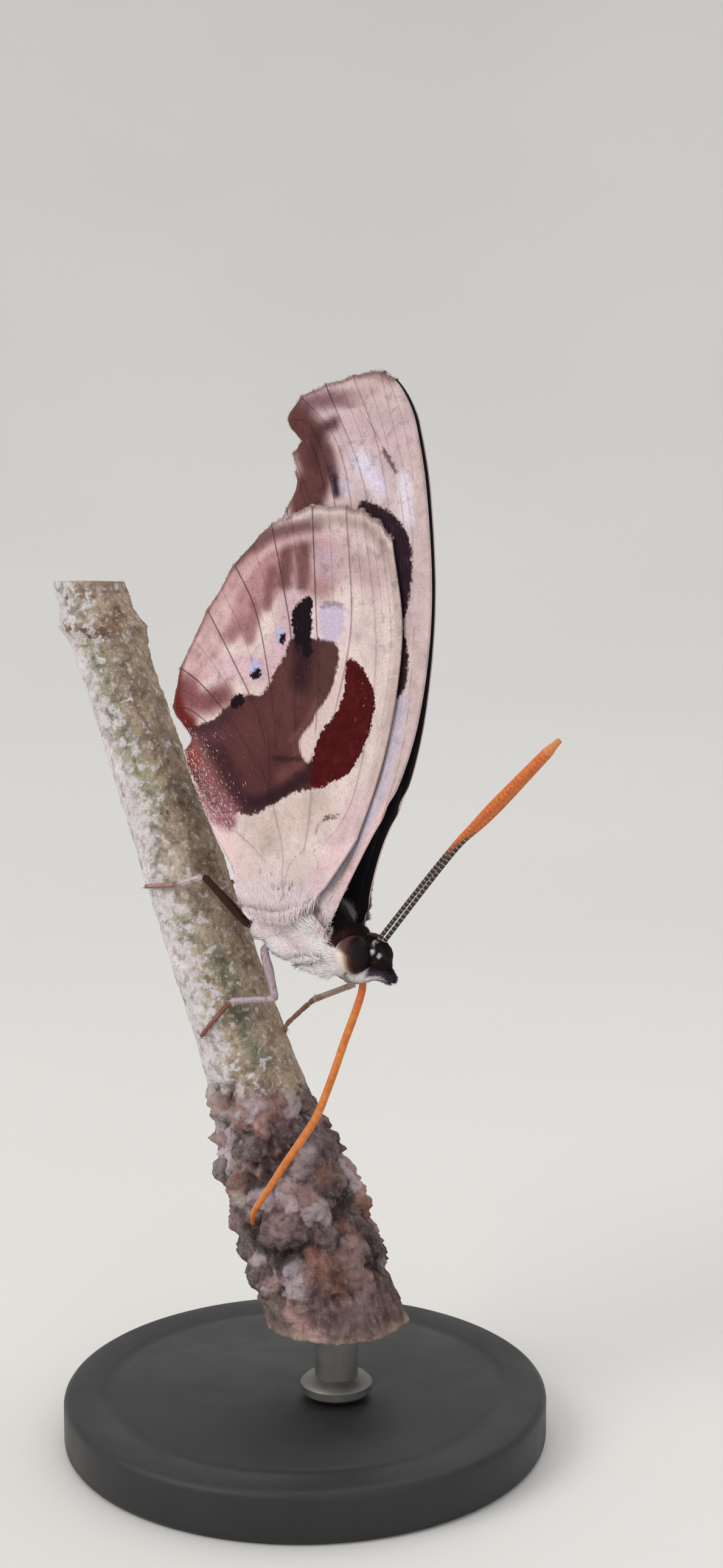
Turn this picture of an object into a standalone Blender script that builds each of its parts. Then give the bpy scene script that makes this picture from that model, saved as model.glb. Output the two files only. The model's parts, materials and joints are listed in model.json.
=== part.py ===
"""Life-size brush-footed butterfly, wings closed, head down on a cut length of branch.

The branch is held by a plain display stand. Every size in this file is in millimetres and
becomes metres in place(). The butterfly's own frame starts at the middle of its thorax:
x runs forward, the side runs to the left (+) or right (-), and height runs up. The world
origin is the centre of the stand's flat underside.
"""

from math import cos, hypot, pi, radians, sin, sqrt

import bmesh
import bpy
from mathutils import Vector, noise

MM = 0.001
LEFT = 1
RIGHT = -1
SIDES = {"left": LEFT, "right": RIGHT}

# Heights and gaps
THORAX_HEIGHT = 36.0
TOUCHING_GAP = 0.3

# Stand
BASE_RADIUS = 17.0
BASE_THICKNESS = 3.5
BASE_EDGE_ROUND = 0.8
ROD_RADIUS = 1.5

# Branch: its axis leans in the plane of the body and meets thorax level behind the thorax
BRANCH_AXIS_X = -10.8
BRANCH_LEAN = 27.08
BRANCH_TOP = 24.0
BRANCH_BOTTOM = -27.0
BRANCH_RADII = [
    (24.0, 2.7), (21.6, 2.75), (20.6, 3.15), (19.6, 2.85), (13.0, 2.8), (0.0, 3.2), (-9.0, 3.3),
    (-12.5, 3.6), (-14.5, 4.0), (-18.0, 4.85), (-27.0, 4.9),
]
BRANCH_SIDES_RESOLUTION = 7
BRANCH_RINGS = 34
BARK_RELIEF = 0.16
WOUND_TOP = -12.0
WOUND_RELIEF = 0.45

# Thorax: an egg whose long axis dips towards the head
THORAX_DIP = 20.0
THORAX_CENTRE = (1.1, 0.0, 0.35)
THORAX_HALF = (4.7, 2.05, 2.65)
THORAX_FRONT_CUT = 3.25
ABDOMEN_ROOT = (-2.45, 0.0, 1.75)
ABDOMEN_ROOT_RISE = 40.0

# Abdomen: heights and half-thicknesses along its spine, tail last
ABDOMEN_SPINE = [
    (-2.65, 0.0, 1.92), (-3.7, 0.0, 3.0), (-4.8, 0.0, 4.3), (-5.9, 0.0, 5.9), (-6.9, 0.0, 7.6),
    (-7.8, 0.0, 9.4), (-8.45, 0.0, 10.75), (-8.6, 0.0, 11.05),
]
ABDOMEN_RADII = [1.2, 1.42, 1.5, 1.45, 1.3, 1.0, 0.5, 0.18]
ABDOMEN_RINGS_PER_SEGMENT = 3
ABDOMEN_GROOVE = 0.07
ABDOMEN_FLATTEN = 0.9

# Head
HEAD_CENTRE = (5.9, 0.0, -1.0)
HEAD_HALF = (2.3, 0.9, 1.4)
HEAD_FLAT_SIDE = 0.5
FRONS_CENTRE = (7.25, 0.0, -0.95)
FRONS_HALF = (1.15, 0.5, 1.1)
EYE_CENTRE = (5.75, 0.8, -0.85)
EYE_HALF = (1.25, 1.15, 1.3)
SOCKET_HALF = (0.4, 0.3, 0.34)

# Palps: points and radii, for the left side
PALP = [
    ((4.55, 0.6, -2.8), 0.27), ((5.15, 0.92, -2.98), 0.37), ((6.4, 0.94, -2.95), 0.42),
    ((7.5, 0.74, -2.65), 0.36), ((8.2, 0.56, -2.25), 0.27), ((8.6, 0.46, -1.95), 0.14),
]

# Antennae: base, bend, start of the club and tip; the left one lies behind the right one
ANTENNAE = {
    "right": [(7.45, -0.42, 0.45), (13.6, -0.8, 6.75), (16.4, -0.9, 9.2), (22.6, -1.0, 14.5)],
    "left": [(7.45, 0.42, 0.45), (12.2, 1.5, 6.45), (14.6, 2.1, 8.9), (19.5, 3.0, 14.05)],
}
ANTENNA_RADIUS = 0.25
CLUB_RADIUS = 0.36

# Proboscis: uncoiled, from under the head to the wound in the bark
PROBOSCIS = [
    ((5.6, 0.0, -2.75), 0.26), ((5.4, 0.0, -3.6), 0.33), ((5.0, -0.2, -5.0), 0.37),
    ((4.6, -0.8, -6.9), 0.38), ((4.35, -1.4, -8.6), 0.38), ((4.1, -2.0, -10.2), 0.38),
    ((3.7, -2.6, -11.9), 0.37), ((3.0, -3.4, -13.6), 0.36), ((2.0, -4.1, -15.4), 0.34),
    ((1.1, -4.8, -17.2), 0.31), ((0.3, -5.3, -18.7), 0.28),
]
PROBOSCIS_TIP = (-19.9, -84.0)
PROBOSCIS_TIP_RADIUS = 0.22

# Wings: each is a membrane with veins raised on both faces. Its middle surface stands
# ROOT_OFFSET from the body's middle plane at the hinge and TIP_OFFSET beyond WING_FALL.
MEMBRANE = 0.5
VEIN_RISE = 0.1
VEIN_HALF_WIDTH = 0.22
FORE_ROOT_OFFSET = 2.15
FORE_TIP_OFFSET = 0.45
HIND_BESIDE_FORE = 0.9
HINGE = [(3.7, -0.5), (-3.0, 1.8), (-10.0, 10.2)]
HINGE_FLAT = 1.0
WING_FALL = 16.0
WING_FALL_POWER = 1.6
WING_ROWS = 12
MARGIN_SCALLOP = 0.12

# Each rib of a wing is its vein's name and its points (x, height) from the root to the
# margin. The first and last ribs are the wing's own edges, and a rib marked False is a
# nick or fold in the margin with no vein on it.
FORE_BASE = [(3.8, 0.8), (0.9, 3.1)]
FORE_RIBS = [
    ("costa", True, [(9.4, 11.4), (11.75, 23.0), (9.0, 36.6)]),
    ("radial", True, [(8.4, 12.4), (10.2, 23.5), (7.4, 37.6)]),
    ("radial_5", True, [(7.2, 13.2), (8.6, 24.0), (5.0, 37.5)]),
    ("media_1", True, [(6.0, 13.8), (7.0, 24.0), (2.5, 37.1)]),
    ("media_2", True, [(4.9, 14.0), (5.4, 23.8), (0.1, 36.2)]),
    ("media_3", True, [(3.9, 14.0), (3.9, 23.4), (-1.1, 34.9)]),
    ("nick", False, [(3.3, 13.9), (3.1, 23.0), (0.3, 33.6)]),
    ("cubitus_1", True, [(2.8, 13.8), (2.4, 22.4), (-0.8, 32.8)]),
    ("bay", False, [(2.3, 13.6), (1.7, 21.8), (-0.2, 31.0)]),
    ("cubitus_2", True, [(1.7, 13.3), (0.8, 21.0), (-1.2, 29.0)]),
    ("anal", True, [(0.0, 12.8), (-1.9, 19.4), (-3.9, 25.4)]),
    ("inner_edge", False, [(-1.3, 12.0), (-3.1, 18.6), (-4.5, 24.2)]),
]
HIND_BASE = [(3.0, 2.6), (0.2, 1.6), (-3.4, 1.7)]
HIND_RIBS = [
    ("costal_edge", False, [(6.6, 7.4), (8.75, 13.6), (10.0, 20.8), (9.1, 27.0)]),
    ("subcosta", True, [(5.7, 7.6), (7.9, 13.4), (9.1, 20.6), (8.0, 28.1)]),
    ("radial", True, [(4.6, 7.8), (6.7, 13.0), (7.8, 20.2), (6.6, 28.8)]),
    ("media_1", True, [(2.9, 8.0), (4.0, 14.0), (5.4, 21.0), (5.1, 29.1)]),
    ("media_2", True, [(1.9, 7.5), (2.4, 13.0), (2.4, 20.5), (2.0, 29.25)]),
    ("media_3", True, [(0.8, 7.0), (0.7, 13.0), (-0.1, 21.0), (-1.9, 28.1)]),
    ("cubitus_1", True, [(-0.4, 6.7), (-1.0, 12.8), (-2.1, 18.8), (-5.6, 25.4)]),
    ("cubitus_2", True, [(-1.0, 6.4), (-1.9, 12.0), (-4.4, 17.2), (-8.2, 22.2)]),
    ("fold", True, [(-1.6, 6.0), (-2.9, 10.9), (-6.0, 14.8), (-10.6, 17.8)]),
    ("anal_2", True, [(-2.2, 5.3), (-4.3, 8.8), (-7.2, 12.0), (-11.1, 14.9)]),
    ("notch", False, [(-2.7, 5.0), (-4.8, 8.2), (-7.0, 11.0), (-8.75, 13.1)]),
    ("anal_3", True, [(-3.2, 4.6), (-5.3, 7.6), (-7.3, 10.2), (-9.3, 12.3)]),
    ("inner_edge", False, [(-4.2, 4.1), (-6.0, 6.4), (-7.6, 8.8), (-8.9, 10.9)]),
]

# Legs: root, knee and contact places. A foot's place on the branch is its level on the
# branch's axis and its angle round it, from the side that faces the thorax towards the left.
# The coxa of each leg is part of the thorax: a short cone from inside it to the leg's root.
LEG_LIFT = 0.55
HIND_COXA = [((-1.6, 0.8, 0.0), 0.75), ((-3.75, 1.5, 0.1), 0.38)]
MID_COXA = [((0.2, 0.9, -0.9), 0.8), ((-1.8, 1.5, -1.2), 0.4)]
HIND_LEGS = {
    "right": [(-4.05, -1.68, 0.3), (-6.4, -3.5, 3.5), (1.6, -54.0), (1.95, -76.0), (2.45, -104.0)],
    "left": [(-4.05, 1.68, 0.3), (-6.2, 3.6, 3.2), (1.2, 56.0), (1.5, 78.0), (1.7, 102.0)],
}
MID_LEGS = {
    "right": [(-2.2, -1.72, -1.5), (0.15, -3.0, -4.3), (-6.6, -41.0), (-7.3, -64.0), (-7.9, -88.0)],
    "left": [(-2.2, 1.72, -1.5), (1.5, 3.4, -4.1), (-7.7, 52.0), (-8.6, 40.0), (-9.3, 16.0)],
}
FEMUR_RADIUS = 0.32
KNEE_RADIUS = 0.25
TIBIA_RADIUS = 0.26
TARSUS_RADIUS = 0.25
CLAW_RADIUS = 0.12
FORELEG = [
    ((3.25, 1.15, -2.65), 0.25), ((2.1, 1.7, -2.5), 0.32), ((0.95, 2.05, -2.2), 0.25),
    ((2.0, 2.3, -1.75), 0.3), ((3.2, 2.35, -1.4), 0.14),
]


def place(point):
    """World position, in metres, of a point given in the butterfly's own frame."""
    x, side, height = point
    return Vector((x, side, THORAX_HEIGHT + height)) * MM


def between(low, high, share):
    return low + (high - low) * share


def value_along(stations, at):
    """Value at a height, between the two stations that hold it, eased at both ends."""
    for (high, upper), (low, lower) in zip(stations, stations[1:]):
        if at >= low:
            share = min(max((at - low) / (high - low), 0.0), 1.0)
            return between(lower, upper, share * share * (3.0 - 2.0 * share))
    return stations[-1][1]


def smooth_line(points, count):
    """A smooth curve through the points, sampled at even steps of its length."""
    line = [Vector(point) for point in points]
    before = 2.0 * line[0] - line[1]
    after = 2.0 * line[-1] - line[-2]
    control = [before] + line + [after]
    fine = []
    steps = 12
    for index in range(1, len(control) - 2):
        a, b, c, d = control[index - 1:index + 3]
        for step in range(steps):
            t = step / steps
            fine.append(0.5 * (2.0 * b + (c - a) * t + (2.0 * a - 5.0 * b + 4.0 * c - d) * t ** 2
                               + (3.0 * b - a - 3.0 * c + d) * t ** 3))
    fine.append(line[-1])
    lengths = [0.0]
    for start, end in zip(fine, fine[1:]):
        lengths.append(lengths[-1] + (end - start).length)
    sampled = []
    at = 0
    for number in range(count):
        wanted = lengths[-1] * number / (count - 1)
        while at < len(fine) - 2 and lengths[at + 1] < wanted:
            at += 1
        span = lengths[at + 1] - lengths[at]
        sampled.append(fine[at].lerp(fine[at + 1], (wanted - lengths[at]) / span))
    return sampled


def finish(name, colour, roughness):
    material = bpy.data.materials.new(name)
    material.use_nodes = True
    shader = material.node_tree.nodes["Principled BSDF"]
    shader.inputs["Base Color"].default_value = (*colour, 1.0)
    shader.inputs["Roughness"].default_value = roughness
    return material


def add_object(name, data, material, collection):
    data.materials.clear()
    data.materials.append(material)
    made = bpy.data.objects.new(name, data)
    collection.objects.link(made)
    return made


def ellipsoid(centre, half, dip=0.0, segments=28, rings=16):
    """A closed egg as a mesh object, its long axis dipped towards +X."""
    bpy.ops.mesh.primitive_uv_sphere_add(segments=segments, ring_count=rings, radius=1.0)
    egg = bpy.context.object
    egg.scale = Vector(half) * MM
    egg.rotation_euler = (0.0, radians(dip), 0.0)
    egg.location = place(centre)
    bpy.ops.object.transform_apply(location=True, rotation=True, scale=True)
    return egg


def trim(made, point, outward):
    """Cut a mesh object by a plane, drop what lies outward and close the cut flat."""
    work = bmesh.new()
    work.from_mesh(made.data)
    everything = work.verts[:] + work.edges[:] + work.faces[:]
    bmesh.ops.bisect_plane(work, geom=everything, dist=1e-7, plane_co=point,
                           plane_no=outward, clear_outer=True)
    rim = [edge for edge in work.edges if edge.is_boundary]
    bmesh.ops.holes_fill(work, edges=rim, sides=0)
    bmesh.ops.recalc_face_normals(work, faces=work.faces[:])
    work.to_mesh(made.data)
    work.free()


def keep_largest(made):
    """Keep only the mesh's largest closed surface."""
    work = bmesh.new()
    work.from_mesh(made.data)
    unseen = set(work.faces)
    shells = []
    while unseen:
        shell = {unseen.pop()}
        edge_of_shell = list(shell)
        while edge_of_shell:
            face = edge_of_shell.pop()
            for edge in face.edges:
                for other in edge.link_faces:
                    if other in unseen:
                        unseen.discard(other)
                        shell.add(other)
                        edge_of_shell.append(other)
        shells.append(shell)
    shells.sort(key=len)
    for shell in shells[:-1]:
        bmesh.ops.delete(work, geom=list(shell), context="FACES")
    work.to_mesh(made.data)
    work.free()


def join_pieces(pieces):
    """Fuse closed mesh objects into the first of them with one Boolean union."""
    whole = pieces[0]
    helpers = bpy.data.collections.new("pieces_to_join")
    bpy.context.scene.collection.children.link(helpers)
    for piece in pieces[1:]:
        for holder in piece.users_collection:
            holder.objects.unlink(piece)
        helpers.objects.link(piece)
    union = whole.modifiers.new("union", "BOOLEAN")
    union.operation = "UNION"
    union.operand_type = "COLLECTION"
    union.collection = helpers
    graph = bpy.context.evaluated_depsgraph_get()
    joined = bpy.data.meshes.new_from_object(whole.evaluated_get(graph))
    whole.modifiers.clear()
    whole.data = joined
    for piece in pieces[1:]:
        bpy.data.objects.remove(piece)
    bpy.data.collections.remove(helpers)
    keep_largest(whole)
    return whole


def name_piece(made, name, material, collection):
    made.name = name
    made.data.name = name
    made.data.materials.clear()
    made.data.materials.append(material)
    for holder in made.users_collection:
        holder.objects.unlink(made)
    collection.objects.link(made)
    made.data.shade_smooth()
    made.data.set_sharp_from_angle(angle=radians(40.0))
    return made


def tube(name, stations, material, collection, resolution=2):
    """A tapered tube through (point, radius) stations, as a curve with filled caps."""
    curve = bpy.data.curves.new(name, "CURVE")
    curve.dimensions = "3D"
    curve.bevel_depth = MM
    curve.bevel_resolution = resolution
    curve.use_fill_caps = True
    spline = curve.splines.new("POLY")
    spline.points.add(len(stations) - 1)
    for point, (position, radius) in zip(spline.points, stations):
        point.co = (*place(position), 1.0)
        point.radius = radius
    return add_object(name, curve, material, collection)


def as_mesh(made):
    """Turn a curve object into a closed mesh object with its caps welded on."""
    graph = bpy.context.evaluated_depsgraph_get()
    mesh = bpy.data.meshes.new_from_object(made.evaluated_get(graph))
    name = made.name
    collection = made.users_collection[0]
    bpy.data.objects.remove(made)
    work = bmesh.new()
    work.from_mesh(mesh)
    bmesh.ops.remove_doubles(work, verts=work.verts, dist=1e-6)
    bmesh.ops.recalc_face_normals(work, faces=work.faces[:])
    work.to_mesh(mesh)
    work.free()
    meshed = bpy.data.objects.new(name, mesh)
    collection.objects.link(meshed)
    return meshed


def smooth_stations(stations, count):
    """Resample (point, radius) stations along a smooth curve."""
    packed = [(*point, radius) for point, radius in stations]
    points = smooth_line([Vector(entry[:3]) for entry in packed], count)
    radii = smooth_line([Vector((index, entry[3], 0.0)) for index, entry in enumerate(packed)], count)
    return [(tuple(point), radius.y) for point, radius in zip(points, radii)]


def branch_axis(level):
    """Point of the branch's axis at a level."""
    return Vector((BRANCH_AXIS_X - level * sin(radians(BRANCH_LEAN)) / cos(radians(BRANCH_LEAN)),
                   0.0, level))


def on_branch(level, angle, lift=LEG_LIFT):
    """Point beside the bark, at an angle round the branch from its thorax side to the left."""
    towards_thorax = Vector((cos(radians(BRANCH_LEAN)), 0.0, sin(radians(BRANCH_LEAN))))
    to_left = Vector((0.0, 1.0, 0.0))
    reach = value_along(BRANCH_RADII, level) + lift
    turn = radians(angle)
    return tuple(branch_axis(level) + (towards_thorax * cos(turn) + to_left * sin(turn)) * reach)


def wing_side_offset(x, height, hind):
    """Distance of a wing's middle surface from the body's middle plane."""
    nearest = min(
        distance_to_segment(x, height, start, end) for start, end in zip(HINGE, HINGE[1:])
    )
    share = min(max((nearest - HINGE_FLAT) / WING_FALL, 0.0), 1.0)
    fore = FORE_TIP_OFFSET + (FORE_ROOT_OFFSET - FORE_TIP_OFFSET) * (1.0 - share) ** WING_FALL_POWER
    return fore + (HIND_BESIDE_FORE if hind else 0.0)


def distance_to_segment(x, height, start, end):
    along_x = end[0] - start[0]
    along_height = end[1] - start[1]
    share = ((x - start[0]) * along_x + (height - start[1]) * along_height)
    share = min(max(share / (along_x ** 2 + along_height ** 2), 0.0), 1.0)
    return hypot(x - start[0] - share * along_x, height - start[1] - share * along_height)


def wing_lines(base, ribs):
    """Lines from root to margin across the wing, each with its vein's share of rise."""
    roots = smooth_line([(x, 0.0, height) for x, height in base], len(ribs))
    drawn = []
    for root, (_, veined, points) in zip(roots, ribs):
        line = smooth_line([root] + [Vector((x, 0.0, height)) for x, height in points], WING_ROWS)
        drawn.append((line, veined))
    lines = []
    for (left, left_vein), (right, _) in zip(drawn, drawn[1:]):
        lines.append((left, 1.0 if left_vein else 0.0))
        near = []
        middle = []
        far = []
        for row, (a, b) in enumerate(zip(left, right)):
            share = min(VEIN_HALF_WIDTH / max((b - a).length, 1e-6), 0.3)
            near.append(a.lerp(b, share))
            far.append(a.lerp(b, 1.0 - share))
            pull = MARGIN_SCALLOP * (row / (WING_ROWS - 1)) ** 4
            inward = (left[row - 1] - a).normalized() if row else Vector()
            middle.append(a.lerp(b, 0.5) + inward * pull)
        lines.append((near, 0.0))
        lines.append((middle, 0.0))
        lines.append((far, 0.0))
    lines.append((drawn[-1][0], 1.0 if drawn[-1][1] else 0.0))
    return lines


def wing(name, side, hind, base, ribs, material, collection):
    """A curved membrane with raised veins, split into triangles alike on both faces."""
    lines = wing_lines(base, ribs)
    work = bmesh.new()
    faces_of_wing = {}
    for face in (-1, 1):
        grid = []
        for line, rise in lines:
            column = []
            for row, point in enumerate(line):
                offset = wing_side_offset(point.x, point.z, hind)
                half = MEMBRANE / 2.0 + VEIN_RISE * rise * min(row / 2.0, 1.0)
                column.append(work.verts.new(place((point.x, side * (offset + face * half), point.z))))
            grid.append(column)
        faces_of_wing[face] = grid
        for here, there in zip(grid, grid[1:]):
            for row in range(WING_ROWS - 1):
                work.faces.new((here[row], here[row + 1], there[row + 1]))
                work.faces.new((here[row], there[row + 1], there[row]))
    inner = rim_of(faces_of_wing[-1])
    outer = rim_of(faces_of_wing[1])
    count = len(inner)
    for index in range(count):
        following = (index + 1) % count
        work.faces.new((inner[index], inner[following], outer[following]))
        work.faces.new((inner[index], outer[following], outer[index]))
    bmesh.ops.recalc_face_normals(work, faces=work.faces[:])
    mesh = bpy.data.meshes.new(name)
    work.to_mesh(mesh)
    work.free()
    made = add_object(name, mesh, material, collection)
    mesh.shade_smooth()
    mesh.set_sharp_from_angle(angle=radians(50.0))
    return made


def rim_of(grid):
    """The vertices round a wing's grid, in order."""
    margin = [column[-1] for column in grid]
    root = [column[0] for column in grid]
    return grid[0][:-1] + margin + grid[-1][-2::-1] + root[-2:0:-1]


def add_stand(collection):
    metal = finish("stand_black", (0.02, 0.02, 0.02), 0.45)
    bpy.ops.mesh.primitive_cylinder_add(
        vertices=64, radius=BASE_RADIUS * MM, depth=BASE_THICKNESS * MM,
        location=(0.0, 0.0, BASE_THICKNESS * MM / 2.0))
    base = bpy.context.object
    bpy.ops.object.transform_apply(location=True, rotation=True, scale=True)
    work = bmesh.new()
    work.from_mesh(base.data)
    top = BASE_THICKNESS * MM
    top_rim = [edge for edge in work.edges
               if all(vertex.co.z > top - 1e-6 for vertex in edge.verts)]
    bmesh.ops.bevel(work, geom=top_rim, offset=BASE_EDGE_ROUND * MM, segments=3,
                    profile=0.5, affect="EDGES")
    work.to_mesh(base.data)
    work.free()
    name_piece(base, "stand_base", metal, collection)

    rod_bottom = BASE_THICKNESS + TOUCHING_GAP
    rod_top = THORAX_HEIGHT + BRANCH_BOTTOM - TOUCHING_GAP
    bpy.ops.mesh.primitive_cylinder_add(
        vertices=24, radius=ROD_RADIUS * MM, depth=(rod_top - rod_bottom) * MM,
        location=(branch_axis(BRANCH_BOTTOM).x * MM, 0.0, (rod_top + rod_bottom) / 2.0 * MM))
    rod = bpy.context.object
    bpy.ops.object.transform_apply(location=True, rotation=True, scale=True)
    name_piece(rod, "stand_rod", metal, collection)


def add_branch(collection):
    """The cut length of branch: a node ring near the top, a swollen wound near the bottom."""
    bark = finish("bark", (0.36, 0.33, 0.29), 0.9)
    below_cut = BRANCH_BOTTOM - 4.0
    stations = []
    for ring in range(BRANCH_RINGS):
        level = between(BRANCH_TOP, below_cut, ring / (BRANCH_RINGS - 1))
        stations.append((tuple(branch_axis(level)), value_along(BRANCH_RADII, max(level, BRANCH_BOTTOM))))
    branch = as_mesh(tube("perch_branch", stations, bark, collection, BRANCH_SIDES_RESOLUTION))
    for vertex in branch.data.vertices:
        level = vertex.co.z / MM - THORAX_HEIGHT
        axis = place(tuple(branch_axis(level)))
        outward = vertex.co - axis
        outward.z = 0.0
        if outward.length < 0.5 * MM:
            continue
        worn = min(max((WOUND_TOP - level) / 5.0, 0.0), 1.0)
        relief = between(BARK_RELIEF, WOUND_RELIEF, worn)
        bump = noise.noise(vertex.co / MM * 0.45) * relief - relief * 0.5
        vertex.co += outward.normalized() * bump * MM
    trim(branch, place(tuple(branch_axis(BRANCH_BOTTOM))), Vector((0.0, 0.0, -1.0)))
    name_piece(branch, "perch_branch", bark, collection)


def add_thorax(collection):
    """The egg of the thorax with the leg coxae and the roots of the wings."""
    wool = finish("thorax_wool", (0.62, 0.5, 0.47), 0.9)
    egg = ellipsoid(THORAX_CENTRE, THORAX_HALF, THORAX_DIP, 32, 20)
    dip = radians(THORAX_DIP)
    forward = Vector((cos(dip), 0.0, -sin(dip)))
    front = place(THORAX_CENTRE) + forward * THORAX_FRONT_CUT * MM
    trim(egg, front, forward)
    rise = radians(ABDOMEN_ROOT_RISE)
    backward = Vector((-cos(rise), 0.0, sin(rise)))
    trim(egg, place(ABDOMEN_ROOT), backward)
    pieces = [egg]
    for side in SIDES.values():
        for coxa in (HIND_COXA, MID_COXA):
            stations = [((x, reach * side, height), radius) for (x, reach, height), radius in coxa]
            pieces.append(as_mesh(tube("coxa", stations, wool, collection, 4)))
        pieces.append(ellipsoid((-0.5, 1.6 * side, 1.55), (1.5, 0.78, 0.8), 10.0, 16, 10))
    thorax = join_pieces(pieces)
    name_piece(thorax, "thorax", wool, collection)


def add_abdomen(collection):
    """A tapered, gently ringed tube that rises between the hind wings' inner edges."""
    scales = finish("abdomen_scales", (0.3, 0.22, 0.2), 0.85)
    segments = len(ABDOMEN_SPINE) + 2
    count = segments * ABDOMEN_RINGS_PER_SEGMENT + 1
    stations = smooth_stations(list(zip(ABDOMEN_SPINE, ABDOMEN_RADII)), count)
    ringed = []
    for index, (point, radius) in enumerate(stations):
        groove = ABDOMEN_GROOVE if index % ABDOMEN_RINGS_PER_SEGMENT == 0 else 0.0
        ringed.append((point, radius - groove))
    abdomen = as_mesh(tube("abdomen", ringed, scales, collection, 5))
    for vertex in abdomen.data.vertices:
        vertex.co.y *= ABDOMEN_FLATTEN
    rise = radians(ABDOMEN_ROOT_RISE)
    backward = Vector((-cos(rise), 0.0, sin(rise)))
    trim(abdomen, place(ABDOMEN_ROOT) + backward * TOUCHING_GAP * MM, -backward)
    name_piece(abdomen, "abdomen", scales, collection)


def add_head(collection):
    """Head capsule with flat sides for the eyes, the frons and two antenna sockets."""
    dark = finish("head_scales", (0.1, 0.08, 0.08), 0.85)
    capsule = ellipsoid(HEAD_CENTRE, HEAD_HALF, 0.0, 20, 12)
    for side in SIDES.values():
        plane = place((0.0, side * HEAD_FLAT_SIDE, 0.0))
        trim(capsule, plane, Vector((0.0, side, 0.0)))
    pieces = [capsule, ellipsoid(FRONS_CENTRE, FRONS_HALF, 0.0, 18, 12)]
    for points in ANTENNAE.values():
        base = Vector(points[0])
        direction = (Vector(points[1]) - base).normalized()
        seat = base - direction * (TOUCHING_GAP + SOCKET_HALF[0])
        pieces.append(ellipsoid(tuple(seat), SOCKET_HALF, -45.0, 12, 8))
    head = join_pieces(pieces)
    dip = radians(THORAX_DIP)
    forward = Vector((cos(dip), 0.0, -sin(dip)))
    rear = place(THORAX_CENTRE) + forward * (THORAX_FRONT_CUT + TOUCHING_GAP) * MM
    trim(head, rear, -forward)
    name_piece(head, "head", dark, collection)


def add_eyes(collection):
    facets = finish("eye", (0.35, 0.2, 0.13), 0.25)
    for word, side in SIDES.items():
        x, reach, height = EYE_CENTRE
        eye = ellipsoid((x, side * reach, height), EYE_HALF, 0.0, 24, 16)
        trim(eye, place((0.0, side * reach, 0.0)), Vector((0.0, -side, 0.0)))
        name_piece(eye, "eye_" + word, facets, collection)


def add_palps(collection):
    white = finish("palp_scales", (0.7, 0.62, 0.6), 0.85)
    for word, side in SIDES.items():
        stations = [((x, side * reach, height), radius) for (x, reach, height), radius in PALP]
        tube("palp_" + word, smooth_stations(stations, 12), white, collection)


def add_antennae(collection):
    """A slender shaft that thickens to a long club."""
    orange = finish("antenna_orange", (0.55, 0.2, 0.05), 0.5)
    for word, points in ANTENNAE.items():
        line = smooth_line(points, 18)
        stations = []
        for index, point in enumerate(line):
            share = index / (len(line) - 1)
            swell = min(max((share - 0.5) / 0.25, 0.0), 1.0)
            radius = between(ANTENNA_RADIUS, CLUB_RADIUS, swell)
            if share > 0.9:
                radius = between(CLUB_RADIUS, 0.16, (share - 0.9) / 0.1)
            stations.append((tuple(point), radius))
        tube("antenna_" + word, stations, orange, collection)


def add_proboscis(collection):
    amber = finish("proboscis_amber", (0.55, 0.24, 0.08), 0.45)
    tip = on_branch(*PROBOSCIS_TIP, lift=TOUCHING_GAP + PROBOSCIS_TIP_RADIUS)
    stations = PROBOSCIS + [(tip, PROBOSCIS_TIP_RADIUS)]
    tube("proboscis", smooth_stations(stations, 24), amber, collection)


def add_leg(name, joints, material, collection):
    """Femur, tibia and a tarsus that curves round the branch to its claws."""
    root, knee = Vector(joints[0]), Vector(joints[1])
    feet = [Vector(on_branch(*contact)) for contact in joints[2:]]
    femur_middle = root.lerp(knee, 0.4)
    femur_end = root.lerp(knee, 0.9)
    tibia_start = knee.lerp(feet[0], 0.09)
    tibia_end = knee.lerp(feet[0], 0.9)
    rounded_knee = knee.lerp((femur_end + tibia_start) / 2.0, 0.45)
    stations = [
        (tuple(root), KNEE_RADIUS), (tuple(femur_middle), FEMUR_RADIUS),
        (tuple(femur_end), KNEE_RADIUS + 0.03), (tuple(rounded_knee), KNEE_RADIUS),
        (tuple(tibia_start), TIBIA_RADIUS), (tuple(tibia_end), TIBIA_RADIUS),
    ]
    tarsus = smooth_line(feet, 6)
    tarsus[0] = tarsus[0].lerp((tibia_end + tarsus[1]) / 2.0, 0.3)
    for index, point in enumerate(tarsus):
        last = index == len(tarsus) - 1
        stations.append((tuple(point), CLAW_RADIUS if last else TARSUS_RADIUS))
    tube(name, stations, material, collection)


def add_legs(collection):
    brown = finish("leg_brown", (0.3, 0.16, 0.12), 0.6)
    pale = finish("leg_pale", (0.58, 0.48, 0.5), 0.7)
    for word, joints in HIND_LEGS.items():
        add_leg("leg_hind_" + word, joints, brown, collection)
    for word, joints in MID_LEGS.items():
        add_leg("leg_mid_" + word, joints, pale, collection)
    for word, side in SIDES.items():
        stations = [((x, side * reach, height), radius) for (x, reach, height), radius in FORELEG]
        tube("leg_fore_" + word, stations, pale, collection)


def add_wings(collection):
    under = finish("wing_underside", (0.56, 0.43, 0.4), 0.7)
    for word, side in SIDES.items():
        wing("forewing_" + word, side, False, FORE_BASE, FORE_RIBS, under, collection)
        wing("hindwing_" + word, side, True, HIND_BASE, HIND_RIBS, under, collection)


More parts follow.
